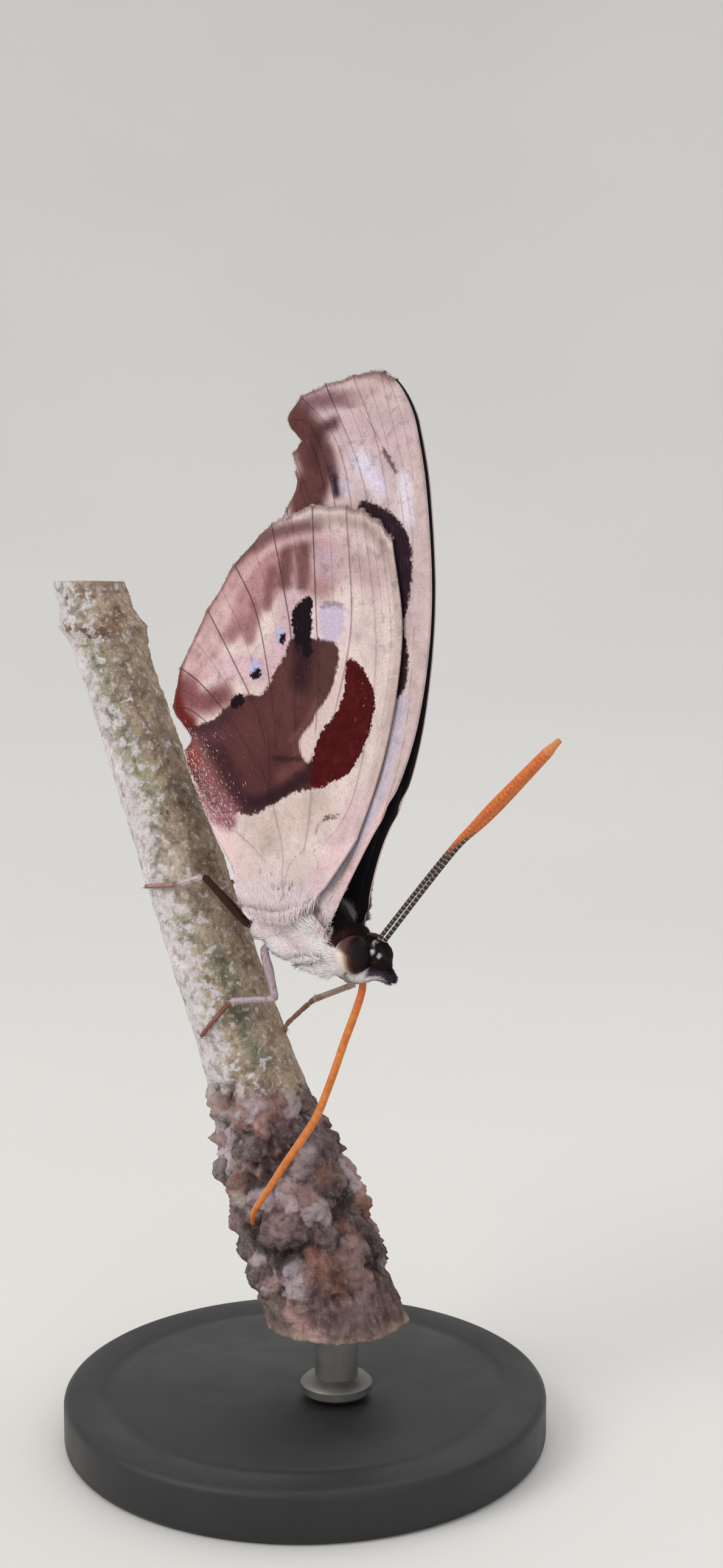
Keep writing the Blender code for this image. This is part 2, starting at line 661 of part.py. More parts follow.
def main():
    for made in list(bpy.data.objects):
        bpy.data.objects.remove(made)
    collection = bpy.data.collections.new("catonephele_butterfly")
    bpy.context.scene.collection.children.link(collection)
    add_stand(collection)
    add_branch(collection)
    add_thorax(collection)
    add_abdomen(collection)
    add_head(collection)
    add_eyes(collection)
    add_palps(collection)
    add_antennae(collection)
    add_proboscis(collection)
    add_legs(collection)
    add_wings(collection)


main()
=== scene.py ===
"""Life-size brush-footed butterfly, wings closed, feeding head down on a cut branch.

The solids give every place and size; this file dresses them with wings, scales, wool, bark and
a studio table. Points are written in millimetres in the butterfly's own frame, as
(x forward, side, height above the middle of the thorax), and become metres in place(). The
side is positive to the butterfly's left. Colours are written as they look on a screen.
"""

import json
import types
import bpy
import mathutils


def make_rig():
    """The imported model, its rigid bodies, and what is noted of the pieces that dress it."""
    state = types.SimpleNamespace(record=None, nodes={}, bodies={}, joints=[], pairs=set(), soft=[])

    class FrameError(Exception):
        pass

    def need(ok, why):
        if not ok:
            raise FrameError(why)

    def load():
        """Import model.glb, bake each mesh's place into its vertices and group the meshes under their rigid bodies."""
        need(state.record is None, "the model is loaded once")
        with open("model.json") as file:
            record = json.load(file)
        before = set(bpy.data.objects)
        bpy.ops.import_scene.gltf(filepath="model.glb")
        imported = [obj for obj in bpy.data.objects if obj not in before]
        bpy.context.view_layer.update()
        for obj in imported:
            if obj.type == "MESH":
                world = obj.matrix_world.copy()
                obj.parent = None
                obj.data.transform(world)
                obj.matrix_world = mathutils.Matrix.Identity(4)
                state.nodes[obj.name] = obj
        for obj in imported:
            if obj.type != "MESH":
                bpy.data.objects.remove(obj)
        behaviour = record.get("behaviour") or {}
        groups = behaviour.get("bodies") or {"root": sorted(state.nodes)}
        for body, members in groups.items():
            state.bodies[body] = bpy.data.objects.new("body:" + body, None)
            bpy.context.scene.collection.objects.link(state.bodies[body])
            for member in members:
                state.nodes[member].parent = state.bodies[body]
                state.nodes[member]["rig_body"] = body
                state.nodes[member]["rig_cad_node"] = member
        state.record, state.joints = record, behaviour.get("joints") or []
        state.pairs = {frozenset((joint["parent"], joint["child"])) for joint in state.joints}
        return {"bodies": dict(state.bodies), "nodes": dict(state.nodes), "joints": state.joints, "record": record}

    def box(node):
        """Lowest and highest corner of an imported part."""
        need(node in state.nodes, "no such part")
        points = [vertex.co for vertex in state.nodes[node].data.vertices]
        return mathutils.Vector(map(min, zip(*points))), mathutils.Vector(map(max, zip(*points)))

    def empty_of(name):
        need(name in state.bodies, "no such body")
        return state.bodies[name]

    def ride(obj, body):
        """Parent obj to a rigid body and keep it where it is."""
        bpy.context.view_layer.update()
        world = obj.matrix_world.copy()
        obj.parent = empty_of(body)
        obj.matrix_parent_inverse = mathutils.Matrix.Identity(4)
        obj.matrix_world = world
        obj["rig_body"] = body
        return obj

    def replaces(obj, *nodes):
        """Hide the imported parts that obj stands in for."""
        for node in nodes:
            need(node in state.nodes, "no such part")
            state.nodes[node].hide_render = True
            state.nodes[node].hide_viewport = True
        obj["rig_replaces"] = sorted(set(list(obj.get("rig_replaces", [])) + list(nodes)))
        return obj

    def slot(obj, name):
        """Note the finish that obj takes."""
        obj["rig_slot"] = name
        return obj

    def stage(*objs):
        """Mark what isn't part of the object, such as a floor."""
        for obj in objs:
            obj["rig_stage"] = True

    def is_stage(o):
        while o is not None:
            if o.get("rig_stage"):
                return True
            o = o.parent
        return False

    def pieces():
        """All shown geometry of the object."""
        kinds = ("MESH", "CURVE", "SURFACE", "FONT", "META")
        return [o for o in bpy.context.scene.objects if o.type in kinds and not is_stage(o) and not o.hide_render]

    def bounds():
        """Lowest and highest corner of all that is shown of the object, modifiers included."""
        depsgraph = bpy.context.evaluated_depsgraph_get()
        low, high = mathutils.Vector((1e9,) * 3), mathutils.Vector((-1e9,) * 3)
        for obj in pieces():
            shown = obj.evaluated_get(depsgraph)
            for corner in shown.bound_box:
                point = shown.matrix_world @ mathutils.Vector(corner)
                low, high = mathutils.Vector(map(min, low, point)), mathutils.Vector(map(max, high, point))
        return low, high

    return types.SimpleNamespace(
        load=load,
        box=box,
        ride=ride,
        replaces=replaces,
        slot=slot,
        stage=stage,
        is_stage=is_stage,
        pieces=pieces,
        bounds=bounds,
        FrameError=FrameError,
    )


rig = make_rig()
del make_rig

bl_info = {
    "name": "Feeding butterfly on a branch",
    "version": (1, 0, 0),
    "blender": (4, 5, 0),
    "location": "3D View > Sidebar > Butterfly",
    "description": "Dresses the solids of a life-size butterfly model with its finished surfaces",
    "category": "Add Mesh",
}

import json
import sys
from contextlib import contextmanager
from functools import partialmethod
from math import cos, pi, radians, sin

import bmesh
import bpy
import numpy as np
from bpy.props import FloatProperty, FloatVectorProperty, IntProperty, PointerProperty
from bpy.types import Operator, Panel, PropertyGroup
from mathutils import Vector, noise

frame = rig.load()
SOLID_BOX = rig.bounds()

MM = 0.001
THORAX_HEIGHT = 36.0
SIDES = {"left": 1.0, "right": -1.0}
BODY = "root"
TINY = 1e-12
MERGE_WITHIN = 1e-7
SPAN_STEPS = 16
STROKE_STEPS = 24
OUTLINE_STEPS = 90


# Places and curves

def place(point):
    """World position, in metres, of a point in the butterfly's own frame."""
    return Vector((point[0], point[1], THORAX_HEIGHT + point[2])) * MM


def place_all(points):
    """World positions, in metres, of many points at once."""
    return (np.asarray(points, float) + (0.0, 0.0, THORAX_HEIGHT)) * MM


def own_frame(positions):
    """Millimetres in the butterfly's own frame, from metres in the world."""
    return np.asarray(positions, float) / MM - (0.0, 0.0, THORAX_HEIGHT)


def ease(value, low, high):
    """0 below low, 1 above high and a smooth rise between."""
    share = np.clip((np.asarray(value, float) - low) / (high - low), 0.0, 1.0)
    return share * share * (3.0 - 2.0 * share)


def unit(vectors):
    return vectors / np.maximum(np.linalg.norm(vectors, axis=-1, keepdims=True), TINY)


def lengths_along(path):
    """Length of the path up to each of its points."""
    steps = np.linalg.norm(np.diff(path, axis=0), axis=1)
    return np.concatenate([[0.0], np.cumsum(steps)])


def smooth_path(points, count, closed=False):
    """A smooth curve through the points, sampled at even steps of its length."""
    given = np.asarray(points, float)
    if closed:
        control = np.vstack([given[-1:], given, given[:2]])
    else:
        control = np.vstack([2.0 * given[0] - given[1], given, 2.0 * given[-1] - given[-2]])
    t = np.linspace(0.0, 1.0, SPAN_STEPS, endpoint=False)[:, None]
    spans = []
    for a, b, c, d in zip(control, control[1:], control[2:], control[3:]):
        spans.append(0.5 * (2.0 * b + (c - a) * t + (2.0 * a - 5.0 * b + 4.0 * c - d) * t ** 2
                            + (3.0 * b - a - 3.0 * c + d) * t ** 3))
    fine = np.vstack(spans + [control[-2:-1]])
    along = lengths_along(fine)
    wanted = np.linspace(0.0, along[-1], count)
    return np.stack([np.interp(wanted, along, fine[:, axis]) for axis in range(fine.shape[1])], 1)


def distance_to_line(points, line):
    """Distance of each point from a line of straight pieces."""
    nearest = np.full(len(points), 1e9)
    for start, end in zip(line, line[1:]):
        run = end - start
        share = np.clip(((points - start) @ run) / max(run @ run, TINY), 0.0, 1.0)
        nearest = np.minimum(nearest, np.linalg.norm(points - start - share[:, None] * run, axis=1))
    return nearest


def depth_inside(points, outline):
    """Distance of each point from a closed outline, positive inside it."""
    ring = smooth_path(outline, OUTLINE_STEPS, closed=True)
    inside = np.zeros(len(points), bool)
    for (x0, z0), (x1, z1) in zip(ring, ring[1:]):
        crosses = (z0 > points[:, 1]) != (z1 > points[:, 1])
        reach = (x1 - x0) * (points[:, 1] - z0) / (z1 - z0 if z1 != z0 else TINY) + x0
        inside ^= crosses & (points[:, 0] < reach)
    return np.where(inside, 1.0, -1.0) * distance_to_line(points, ring)


def linear(colour):
    """Linear light of a screen colour with parts from 0 to 255."""
    share = np.asarray(colour, float) / 255.0
    return np.where(share <= 0.04045, share / 12.92, ((share + 0.055) / 1.055) ** 2.4)


def rgba(colour):
    return (*linear(colour), 1.0)


def paint(points, ground, strokes):
    """Soft brush strokes over a ground colour.

    Each stroke is (path, half width, softness, colour, strength) and the result is linear.
    """
    painted = np.tile(np.asarray(ground, float), (len(points), 1))
    for path, half, soft, colour, strength in strokes:
        line = np.asarray(path, float)
        if len(line) == 1:
            gap = np.linalg.norm(points - line[0], axis=1)
        else:
            gap = distance_to_line(points, smooth_path(line, STROKE_STEPS) if len(line) > 2 else line)
        share = (1.0 - ease(gap, half - soft, half + soft)) * strength
        painted += (np.asarray(colour, float) - painted) * share[:, None]
    return linear(painted)


# Meshes

def clear_selection():
    bpy.ops.object.select_all(action="DESELECT")


def made_now(name):
    """The object that an operator has just added, under its new name."""
    made = bpy.context.object
    made.name = name
    made.data.name = name
    return made


def pick(made):
    clear_selection()
    made.select_set(True)
    bpy.context.view_layer.objects.active = made


@contextmanager
def editing(made):
    """Edit mode on one object, with all of it selected."""
    pick(made)
    bpy.ops.object.mode_set(mode="EDIT")
    bpy.ops.mesh.select_all(action="SELECT")
    yield
    bpy.ops.object.mode_set(mode="OBJECT")


def mend(made):
    """Merge the points that lie together and turn all faces outwards."""
    with editing(made):
        bpy.ops.mesh.remove_doubles(threshold=MERGE_WITHIN)
        bpy.ops.mesh.normals_make_consistent()


def apply_modifiers(made):
    pick(made)
    for modifier in list(made.modifiers):
        bpy.ops.object.modifier_apply(modifier=modifier.name)


def positions_of(made):
    flat = np.empty(len(made.data.vertices) * 3)
    made.data.vertices.foreach_get("co", flat)
    return flat.reshape(-1, 3)


def move_to(made, positions):
    made.data.vertices.foreach_set("co", np.ascontiguousarray(positions, np.float32).ravel())
    made.data.update()


def normals_of(made):
    flat = np.empty(len(made.data.vertices) * 3)
    made.data.vertex_normals.foreach_get("vector", flat)
    return flat.reshape(-1, 3)


def layer_values(made, name):
    values = np.empty(len(made.data.vertices), np.float32)
    made.data.attributes[name].data.foreach_get("value", values)
    return values


def point_layer(made, name, values):
    """A layer with a number or a vector for each point of a mesh."""
    values = np.asarray(values, np.float32)
    kind, part = ("FLOAT", "value") if values.ndim == 1 else ("FLOAT_VECTOR", "vector")
    made.data.attributes.new(name, kind, "POINT").data.foreach_set(part, values.ravel())


def colour_layer(made, name, values):
    layer = made.data.color_attributes.new(name, "FLOAT_COLOR", "POINT")
    whole = np.column_stack([values, np.ones(len(values))])
    layer.data.foreach_set("color", np.asarray(whole, np.float32).ravel())


def finish_piece(made, material, slot=None, nodes=()):
    """Give a piece its material, its body, its slot and the solids that it stands for."""
    if material is not None:
        made.data.materials.clear()
        made.data.materials.append(material)
    pick(made)
    bpy.ops.object.shade_smooth()
    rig.ride(made, BODY)
    if slot:
        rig.slot(made, slot)
    if nodes:
        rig.replaces(made, *nodes)
    return made


def sheet_grid(name, columns, rows):
    """A flat grid and, for each of its vertices, the column and the row that it belongs to."""
    clear_selection()
    bpy.ops.mesh.primitive_grid_add(x_subdivisions=columns - 1, y_subdivisions=rows - 1, size=2.0)
    made = made_now(name)
    flat = positions_of(made)
    column = np.rint((flat[:, 0] + 1.0) * 0.5 * (columns - 1)).astype(int)
    row = np.rint((flat[:, 1] + 1.0) * 0.5 * (rows - 1)).astype(int)
    return made, column, row


def tube(name, points, radii, sides=16, flatten=1.0):
    """A closed tapered tube along a path in the own frame, with its length in a layer."""
    path = np.asarray(points, float)
    radii = np.asarray(radii, float)
    count = len(path)
    made, around, ring = sheet_grid(name, sides + 1, count + 2)
    forward = unit(np.gradient(path, axis=0))
    across = np.empty_like(path)
    across[0] = unit(np.cross(forward[0], (0.0, 1.0, 0.0)))
    for index in range(1, count):
        across[index] = unit(across[index - 1]
                             - forward[index] * (across[index - 1] @ forward[index]))
    beside = np.cross(forward, across)
    station = np.clip(ring - 1, 0, count - 1)
    radius = np.where((ring == 0) | (ring == count + 1), 0.0, radii[station])
    turn = 2.0 * pi * around / sides
    whole = path[station] + across[station] * (np.cos(turn) * radius)[:, None]
    whole = whole + beside[station] * (np.sin(turn) * radius * flatten)[:, None]
    move_to(made, place_all(whole))
    point_layer(made, "along", lengths_along(path)[station])
    point_layer(made, "around", turn)
    mend(made)
    return made


def join(name, pieces):
    clear_selection()
    for piece in pieces:
        piece.select_set(True)
    bpy.context.view_layer.objects.active = pieces[0]
    bpy.ops.object.join()
    return made_now(name)


# Tufts

TUFT_FOOT = 0.55
TUFT_BELLY = 1.7
TUFT_ON_UNWRAP = 0.003
TUFT_FLATNESS = 0.4
BRIGHTEST = 0.95


def tuft_pattern():
    """One tuft, modelled once: a three-sided blade along Z, one high, swollen below its middle."""
    clear_selection()
    bpy.ops.mesh.primitive_cone_add(
        vertices=3, radius1=1.0, radius2=0.0, depth=1.0, location=(0.0, 0.0, 0.5))
    made = made_now("tuft_pattern")
    work = bmesh.new()
    work.from_mesh(made.data)
    work.transform(made.matrix_world)
    bmesh.ops.bisect_plane(work, geom=work.verts[:] + work.edges[:] + work.faces[:],
                           plane_co=(0.0, 0.0, 0.5), plane_no=(0.0, 0.0, 1.0))
    for vertex in work.verts:
        if vertex.co.z < 0.75:
            wider = TUFT_FOOT if vertex.co.z < 0.25 else TUFT_BELLY
            vertex.co.xy *= wider
    bmesh.ops.triangulate(work, faces=work.faces[:])
    corners = np.array([vertex.co[:] for vertex in work.verts])
    faces = np.array([[vertex.index for vertex in reversed(face.verts)] for face in work.faces])
    work.free()
    mesh = made.data
    bpy.data.objects.remove(made)
    bpy.data.meshes.remove(mesh)
    return corners, faces


def tufts(name, roots, normals, lie, lengths, widths, lift, colours, patch, droop=0.55):
    """A coat of tufts as one mesh.

    Roots and lengths are in millimetres in the own frame, lie is the way each tuft points
    along the skin, lift how far it stands off it, and patch its place on the skin's unwrap.
    """
    corners, faces = tuft_pattern()
    count = len(roots)
    normals = unit(normals)
    lie = unit(lie - normals * np.sum(lie * normals, axis=1)[:, None])
    side = np.cross(normals, lie)
    lift = np.broadcast_to(np.asarray(lift, float), (count,))[:, None]
    out = unit(lie * np.cos(lift) + normals * np.sin(lift))
    up = np.cross(side, out)
    spread_x, spread_y, height = corners.T
    bend = -droop * np.sin(lift) * 0.5
    whole = (roots[:, None, :]
             + out[:, None, :] * (height[None, :, None] * lengths[:, None, None])
             + normals[:, None, :] * (bend[:, :, None] * (height ** 2)[None, :, None]
                                      * lengths[:, None, None])
             + side[:, None, :] * (spread_x[None, :, None] * widths[:, None, None])
             + up[:, None, :] * (spread_y[None, :, None] * widths[:, None, None] * TUFT_FLATNESS))
    vertices = place_all(whole.reshape(-1, 3))
    index = (faces[None, :, :] + (np.arange(count) * len(corners))[:, None, None]).reshape(-1, 3)
    mesh = bpy.data.meshes.new(name)
    mesh.vertices.add(len(vertices))
    mesh.vertices.foreach_set("co", vertices.astype(np.float32).ravel())
    mesh.loops.add(len(index) * 3)
    mesh.loops.foreach_set("vertex_index", index.astype(np.int32).ravel())
    mesh.polygons.add(len(index))
    mesh.polygons.foreach_set("loop_start", np.arange(0, len(index) * 3, 3, dtype=np.int32))
    mesh.polygons.foreach_set("loop_total", np.full(len(index), 3, np.int32))
    mesh.update(calc_edges=True)
    mesh.validate()
    made = bpy.data.objects.new(name, mesh)
    bpy.context.collection.objects.link(made)
    # Painted shade: each tuft is darker at its root, where it lies among the others, and a little lighter towards its
    # tip
    shade = (0.9 + 0.18 * height)[None, :, None]
    colour_layer(made, "coat_colour", np.clip(colours[:, None, :] * shade, 0.0, BRIGHTEST).reshape(-1, 3))
    own = np.empty(len(vertices) * 3, np.float32)
    mesh.vertices.foreach_get("normal", own)
    lit = unit(np.repeat(normals, len(corners), axis=0) * 1.6 + own.reshape(-1, 3))
    mesh.polygons.foreach_set("use_smooth", np.ones(len(index), bool))
    mesh.normals_split_custom_set_from_vertices(lit)
    unwrap = mesh.uv_layers.new(name="OFBake")
    corner_uv = np.column_stack([spread_x / (2.0 * TUFT_BELLY), height - 0.5]) * TUFT_ON_UNWRAP
    uv = (patch[:, None, None, :] + corner_uv[faces][None, :, :, :]).reshape(-1, 2)
    unwrap.data.foreach_set("uv", np.clip(uv, 0.0, 1.0).astype(np.float32).ravel())
    return made


def scatter(made, count, seed, weight=None):
    """Points spread over a mesh by area, their normals, and the random draws that follow."""
    mesh = made.data
    mesh.calc_loop_triangles()
    triangles = np.empty(len(mesh.loop_triangles) * 3, np.int32)
    mesh.loop_triangles.foreach_get("vertices", triangles)
    triangles = triangles.reshape(-1, 3)
    where = own_frame(positions_of(made))
    facing = normals_of(made)
    a, b, c = (where[triangles[:, corner]] for corner in range(3))
    area = np.linalg.norm(np.cross(b - a, c - a), axis=1)
    if weight is not None:
        area = area * np.clip(weight((a + b + c) / 3.0), 0.0, None)
    draw = np.random.default_rng(seed)
    chosen = draw.choice(len(triangles), size=count, p=area / area.sum())
    first = draw.random(count)
    second = draw.random(count)
    over = first + second > 1.0
    first[over] = 1.0 - first[over]
    second[over] = 1.0 - second[over]
    share = np.column_stack([1.0 - first - second, first, second])
    corners = triangles[chosen]
    points = np.einsum("ij,ijk->ik", share, where[corners])
    normals = unit(np.einsum("ij,ijk->ik", share, facing[corners]))
    return points, normals, draw


# Finishes

class Finish:
    """A new material, with one short call for each kind of node in its tree.

    A value is a number, a vector or another node's output. Colours of three parts from 0 to 255
    are screen colours, those of four parts are linear.
    """

    def __init__(self, name):
        self.material = bpy.data.materials.new(name)
        self.material.use_nodes = True
        self.tree = self.material.node_tree
        self.where = self.put("TexCoord").outputs["Object"]

    def feed(self, socket, value):
        if isinstance(value, bpy.types.NodeSocket):
            self.tree.links.new(value, socket)
        else:
            socket.default_value = value

    def feed_all(self, node, inputs):
        for key, value in inputs.items():
            self.feed(node.inputs[key.replace("_", " ")], value)

    def surface(self, **inputs):
        """Feed the inputs of the surface, and give the material back."""
        self.feed_all(self.tree.nodes["Principled BSDF"], inputs)
        return self.material

    def put(self, kind, **inputs):
        made = self.tree.nodes.new("ShaderNode" + kind)
        self.feed_all(made, inputs)
        return made

    def layer(self, name, output="Fac"):
        made = self.put("Attribute")
        made.attribute_name = name
        return made.outputs[output]

    def cloud(self, scale, detail=3.0, roughness=0.55, where=None):
        made = self.put("TexNoise", Vector=self.where if where is None else where, Scale=scale,
                        Detail=detail, Roughness=roughness)
        return made.outputs["Fac"]

    def cells(self, scale):
        return self.put("TexVoronoi", Vector=self.where, Scale=scale).outputs["Distance"]

    def mapped(self, where, **inputs):
        return self.put("Mapping", Vector=where, **inputs).outputs["Vector"]

    def maths(self, operation, first, second=0.0):
        made = self.put("Math")
        made.operation = operation
        self.feed(made.inputs[0], first)
        self.feed(made.inputs[1], second)
        return made.outputs[0]

    times = partialmethod(maths, "MULTIPLY")
    plus = partialmethod(maths, "ADD")
    minus = partialmethod(maths, "SUBTRACT")
    most = partialmethod(maths, "MAXIMUM")

    def rise(self, value, low, high, to_low=0.0, to_high=1.0):
        """A smooth way from to_low, where the value is low, to to_high, where it is high."""
        made = self.put(
            "MapRange", Value=value, From_Min=low, From_Max=high, To_Min=to_low, To_Max=to_high)
        made.interpolation_type = "SMOOTHSTEP"
        return made.outputs["Result"]

    def blend(self, share, first, second, how="MIX"):
        made = self.put("Mix")
        made.data_type = "RGBA"
        made.blend_type = how
        for number, value in ((0, share), (6, first), (7, second)):
            screen = isinstance(value, tuple) and len(value) == 3
            self.feed(made.inputs[number], rgba(value) if screen else value)
        return made.outputs[2]

    def shade(self, colour, tone):
        """The colour made lighter or darker by a number."""
        grey = self.put("CombineColor", Red=tone, Green=tone, Blue=tone).outputs[0]
        return self.blend(1.0, colour, grey, "MULTIPLY")

    def ramp(self, value, stops):
        made = self.put("ValToRGB", Fac=value)
        elements = made.color_ramp.elements
        while len(elements) < len(stops):
            elements.new(0.5)
        for element, (at, colour) in zip(elements, stops):
            element.position = at
            element.color = rgba(colour)
        return made.outputs["Color"]

    def bump(self, height, distance, strength=1.0, under=None):
        made = self.put("Bump", Height=height, Distance=distance, Strength=strength)
        if under is not None:
            self.feed(made.inputs["Normal"], under)
        return made.outputs["Normal"]


# Sizes and colours that a user would change

class WingSettings(PropertyGroup):
    thickness: FloatProperty(name="Thickness", default=0.16, min=0.05,
                             description="Thickness of a wing's membrane, in millimetres")
    vein_rise: FloatProperty(name="Vein rise", default=0.06, min=0.0,
                             description="Height of a vein over the membrane, in millimetres")
    pleat: FloatProperty(name="Pleat", default=0.06, min=0.0,
                         description="Depth of the folds between the veins, in millimetres")
    rows: IntProperty(
        name="Rows", default=130, min=20, description="Rows of faces from a wing's root to its margin")
    wool_tufts: IntProperty(
        name="Root wool", default=7000, min=100, description="Tufts of wool on the root of each wing")


class CoatSettings(PropertyGroup):
    thorax_tufts: IntProperty(
        name="Thorax tufts", default=18000, min=100,
        description="Tufts of wool on each half of the thorax")
    wool_length: FloatProperty(
        name="Wool length", default=0.95, min=0.1,
        description="Length of the thorax's wool, in millimetres")
    head_tufts: IntProperty(
        name="Head tufts", default=12000, min=100, description="Hair-like scales on the head")
    abdomen_tufts: IntProperty(
        name="Abdomen tufts", default=12000, min=100, description="Scales on the abdomen")


class BranchSettings(PropertyGroup):
    bark_relief: FloatProperty(
        name="Bark relief", default=0.13, min=0.0,
        description="Height of the bark's small lumps, in millimetres")
    wound_relief: FloatProperty(
        name="Wound relief", default=1.1, min=0.0,
        description="Height of the lumps round the wound, in millimetres")
    lichen: FloatVectorProperty(
        name="Lichen", subtype="COLOR", size=3, min=0.0, max=1.0, default=tuple(linear((214, 209, 214))),
        description="Colour of the pale crust on the bark")


class StageSettings(PropertyGroup):
    floor: FloatVectorProperty(
        name="Floor", subtype="COLOR", size=3, min=0.0, max=1.0, default=tuple(linear((222, 220, 216))),
        description="Colour of the table and the wall behind it")
    camera_distance: FloatProperty(
        name="Camera distance", default=0.13, min=0.02, subtype="DISTANCE", unit="LENGTH",
        description="From the lens to the aim point")
    camera_azimuth: FloatProperty(
        name="Camera azimuth", default=radians(43.0), subtype="ANGLE",
        description="Turn of the camera round the model")
    camera_elevation: FloatProperty(
        name="Camera elevation", default=radians(6.0), subtype="ANGLE",
        description="Camera's angle above level")


# Wings

# Distance of the wings from the body's middle plane: widest at the hinge, closed at the tips
HINGE = np.array([(3.7, -0.5), (-3.0, 1.8), (-10.0, 10.2)])
WING_FALL = 7.8
ROOT_OFFSET = 2.04
TIP_OFFSET = 0.11
HIND_BESIDE_FORE = 0.34
# Where a wing comes in by 1, it shifts by this much forward and up, so that the camera sees it
# in the same place
CLOSING_SHIFT = (0.93, 0.26)
# No distance to a vein counts beyond this
FAR = 3.0


def drawn_offset(points, hind):
    """Distance from the middle plane at which the wings' plans were drawn."""
    share = np.clip(distance_to_line(points, HINGE) / 17.0, 0.0, 1.0)
    return 0.4 + 1.7 * (1.0 - share) ** 1.6 + (0.8 if hind else 0.0)


# A rib is a name, whether it carries a vein, whether the margin turns sharply at it, and its
# points (x, height) from the root outwards
FORE_BASE = [(3.8, 0.8), (0.9, 3.1)]
FORE_RIBS = [
    ("costa", True, False, [(6.5, 6.1), (9.4, 11.4), (11.1, 17), (11.75, 23), (11.3, 29.6), (10.5, 33.6),
                            (9.95, 35.1), (9.2, 36.25), (8.45, 37)]),
    ("radial", True, False, [(8.4, 12.4), (10.2, 23.5), (9.7, 30), (7.4, 37.6)]),
    ("radial_5", True, False, [(7.2, 13.2), (8.6, 24), (7.4, 32.2), (5, 37.5)]),
    ("media_1", True, False, [(6, 13.8), (7, 24), (5.9, 30.6), (2.5, 37.1)]),
    ("media_2", True, False, [(4.9, 14), (5.5, 23.8), (4.5, 30.6), (3, 34), (0.2, 36.4)]),
    ("media_3", True, False, [(3.9, 14), (4.1, 23.4), (3.2, 29.8), (2, 33), (0.7, 34.7), (-1.1, 35)]),
    ("nick", False, True, [(3.3, 13.9), (3.1, 23), (2.3, 29.8), (1.4, 32.7), (0.2, 33.5)]),
    ("cubitus_1", True, True, [(2.8, 13.8), (2.4, 22.4), (1.4, 28.4), (-0.6, 32.7)]),
    ("bay", False, False, [(2.3, 13.6), (1.7, 21.8), (0.8, 27.4), (-0.15, 31)]),
    ("cubitus_2", True, False, [(1.7, 13.3), (0.8, 21), (-1.2, 29)]),
    ("anal", True, False, [(0, 12.8), (-1.9, 19.4), (-3.9, 25.4)]),
    ("inner_edge", False, False, [(-1.3, 12), (-3.1, 18.6), (-4.5, 24.2)]),
]
HIND_BASE = [(3.0, 2.6), (0.2, 1.6), (-3.4, 1.7)]
HIND_RIBS = [
    ("costal_edge", False, False, [(4.95, 4.75), (6.65, 7.5), (8.75, 13.6), (10, 20.8), (9.1, 27)]),
    ("subcosta", True, False, [(4.2, 4.6), (5.75, 7.5), (7.85, 13.4), (9.1, 20.6), (8, 28.1)]),
    ("radial", True, False, [(4.5, 7.6), (6.7, 13), (7.8, 20.2), (6.6, 28.8)]),
    ("media_1", True, False, [(2.9, 9), (3.9, 14.5), (5.3, 19.6), (5.6, 23), (5.1, 29.1)]),
    ("media_2", True, False, [(2, 8), (2.4, 13), (2.6, 17.5), (2.3, 23), (2, 29.25)]),
    ("media_3", True, False, [(0.8, 7), (0.7, 13), (0.1, 20), (-0.7, 23.6), (-1.9, 28.1)]),
    ("cubitus_1", True, False, [(-0.4, 6.7), (-1, 12.5), (-1.9, 17.6), (-3.4, 22.2), (-5.6, 25.4)]),
    ("cubitus_2", True, False, [(-0.9, 8), (-1.9, 12.6), (-3.2, 15.7), (-5.6, 19), (-8.2, 22.2)]),
    ("fold", True, False, [(-1.6, 9.6), (-3.4, 12.5), (-5.9, 15.1), (-8.3, 16.9), (-10.6, 18)]),
    ("anal_2", True, False, [(-2.2, 5.9), (-4.2, 9.9), (-6.6, 13.5), (-9.1, 15), (-11.1, 15.2)]),
    ("notch", False, True, [(-2.7, 5), (-4.6, 8.7), (-6.6, 12), (-8.75, 13.1)]),
    ("anal_3", True, True, [(-3.2, 4.6), (-5.3, 7.6), (-7.3, 10.1), (-9.3, 12.1)]),
    ("inner_edge", False, False, [(-4.2, 4.1), (-6, 6.4), (-7.6, 8.8), (-8.9, 10.9)]),
]
NEAR_VEIN = (0.06, 0.13, 0.24)
NEAR_VEIN_SHARE = (0.08, 0.16, 0.26)
EVEN_BETWEEN = 6

# Veins that cross the ribs: the cell's end and the branches near the root
HIND_CROSS_VEINS = [
    [(0.4, 3), (0.2, 4.3), (0.2, 5.3), (-0.2, 6.7), (-0.9, 8.6), (-1.4, 10.1), (-1.6, 11.8), (-1.9, 14.1),
     (-3, 15.5)],
    [(0.4, 3), (0.7, 4.6), (1.3, 5.5), (2, 6.1), (2.2, 7.7), (2.3, 9.7), (2.2, 11), (2.5, 13)],
    [(2, 6.1), (2.8, 6.1), (3.5, 6.5), (4.8, 7.7), (5.7, 9.1), (6.3, 10.7), (6.9, 13.4)],
    [(2.8, 6.1), (3.3, 5.4), (3.4, 4.9)],
    [(-1.6, 12.1), (-0.7, 12.1), (0.6, 12.05), (1.6, 12.25), (2.3, 12.6)],
    [(-1.4, 10.1), (-1.7, 10.4), (-3, 11.7), (-4.4, 13.1), (-5.9, 14.9)],
    [(8.1, 10.8), (7.4, 8.4), (6.6, 7.2), (5.8, 6), (4.8, 4.6), (4, 3.5), (3.2, 2.6)],
    [(-4.3, 6.9), (-2.5, 5.8), (-1.4, 4.9)],
]
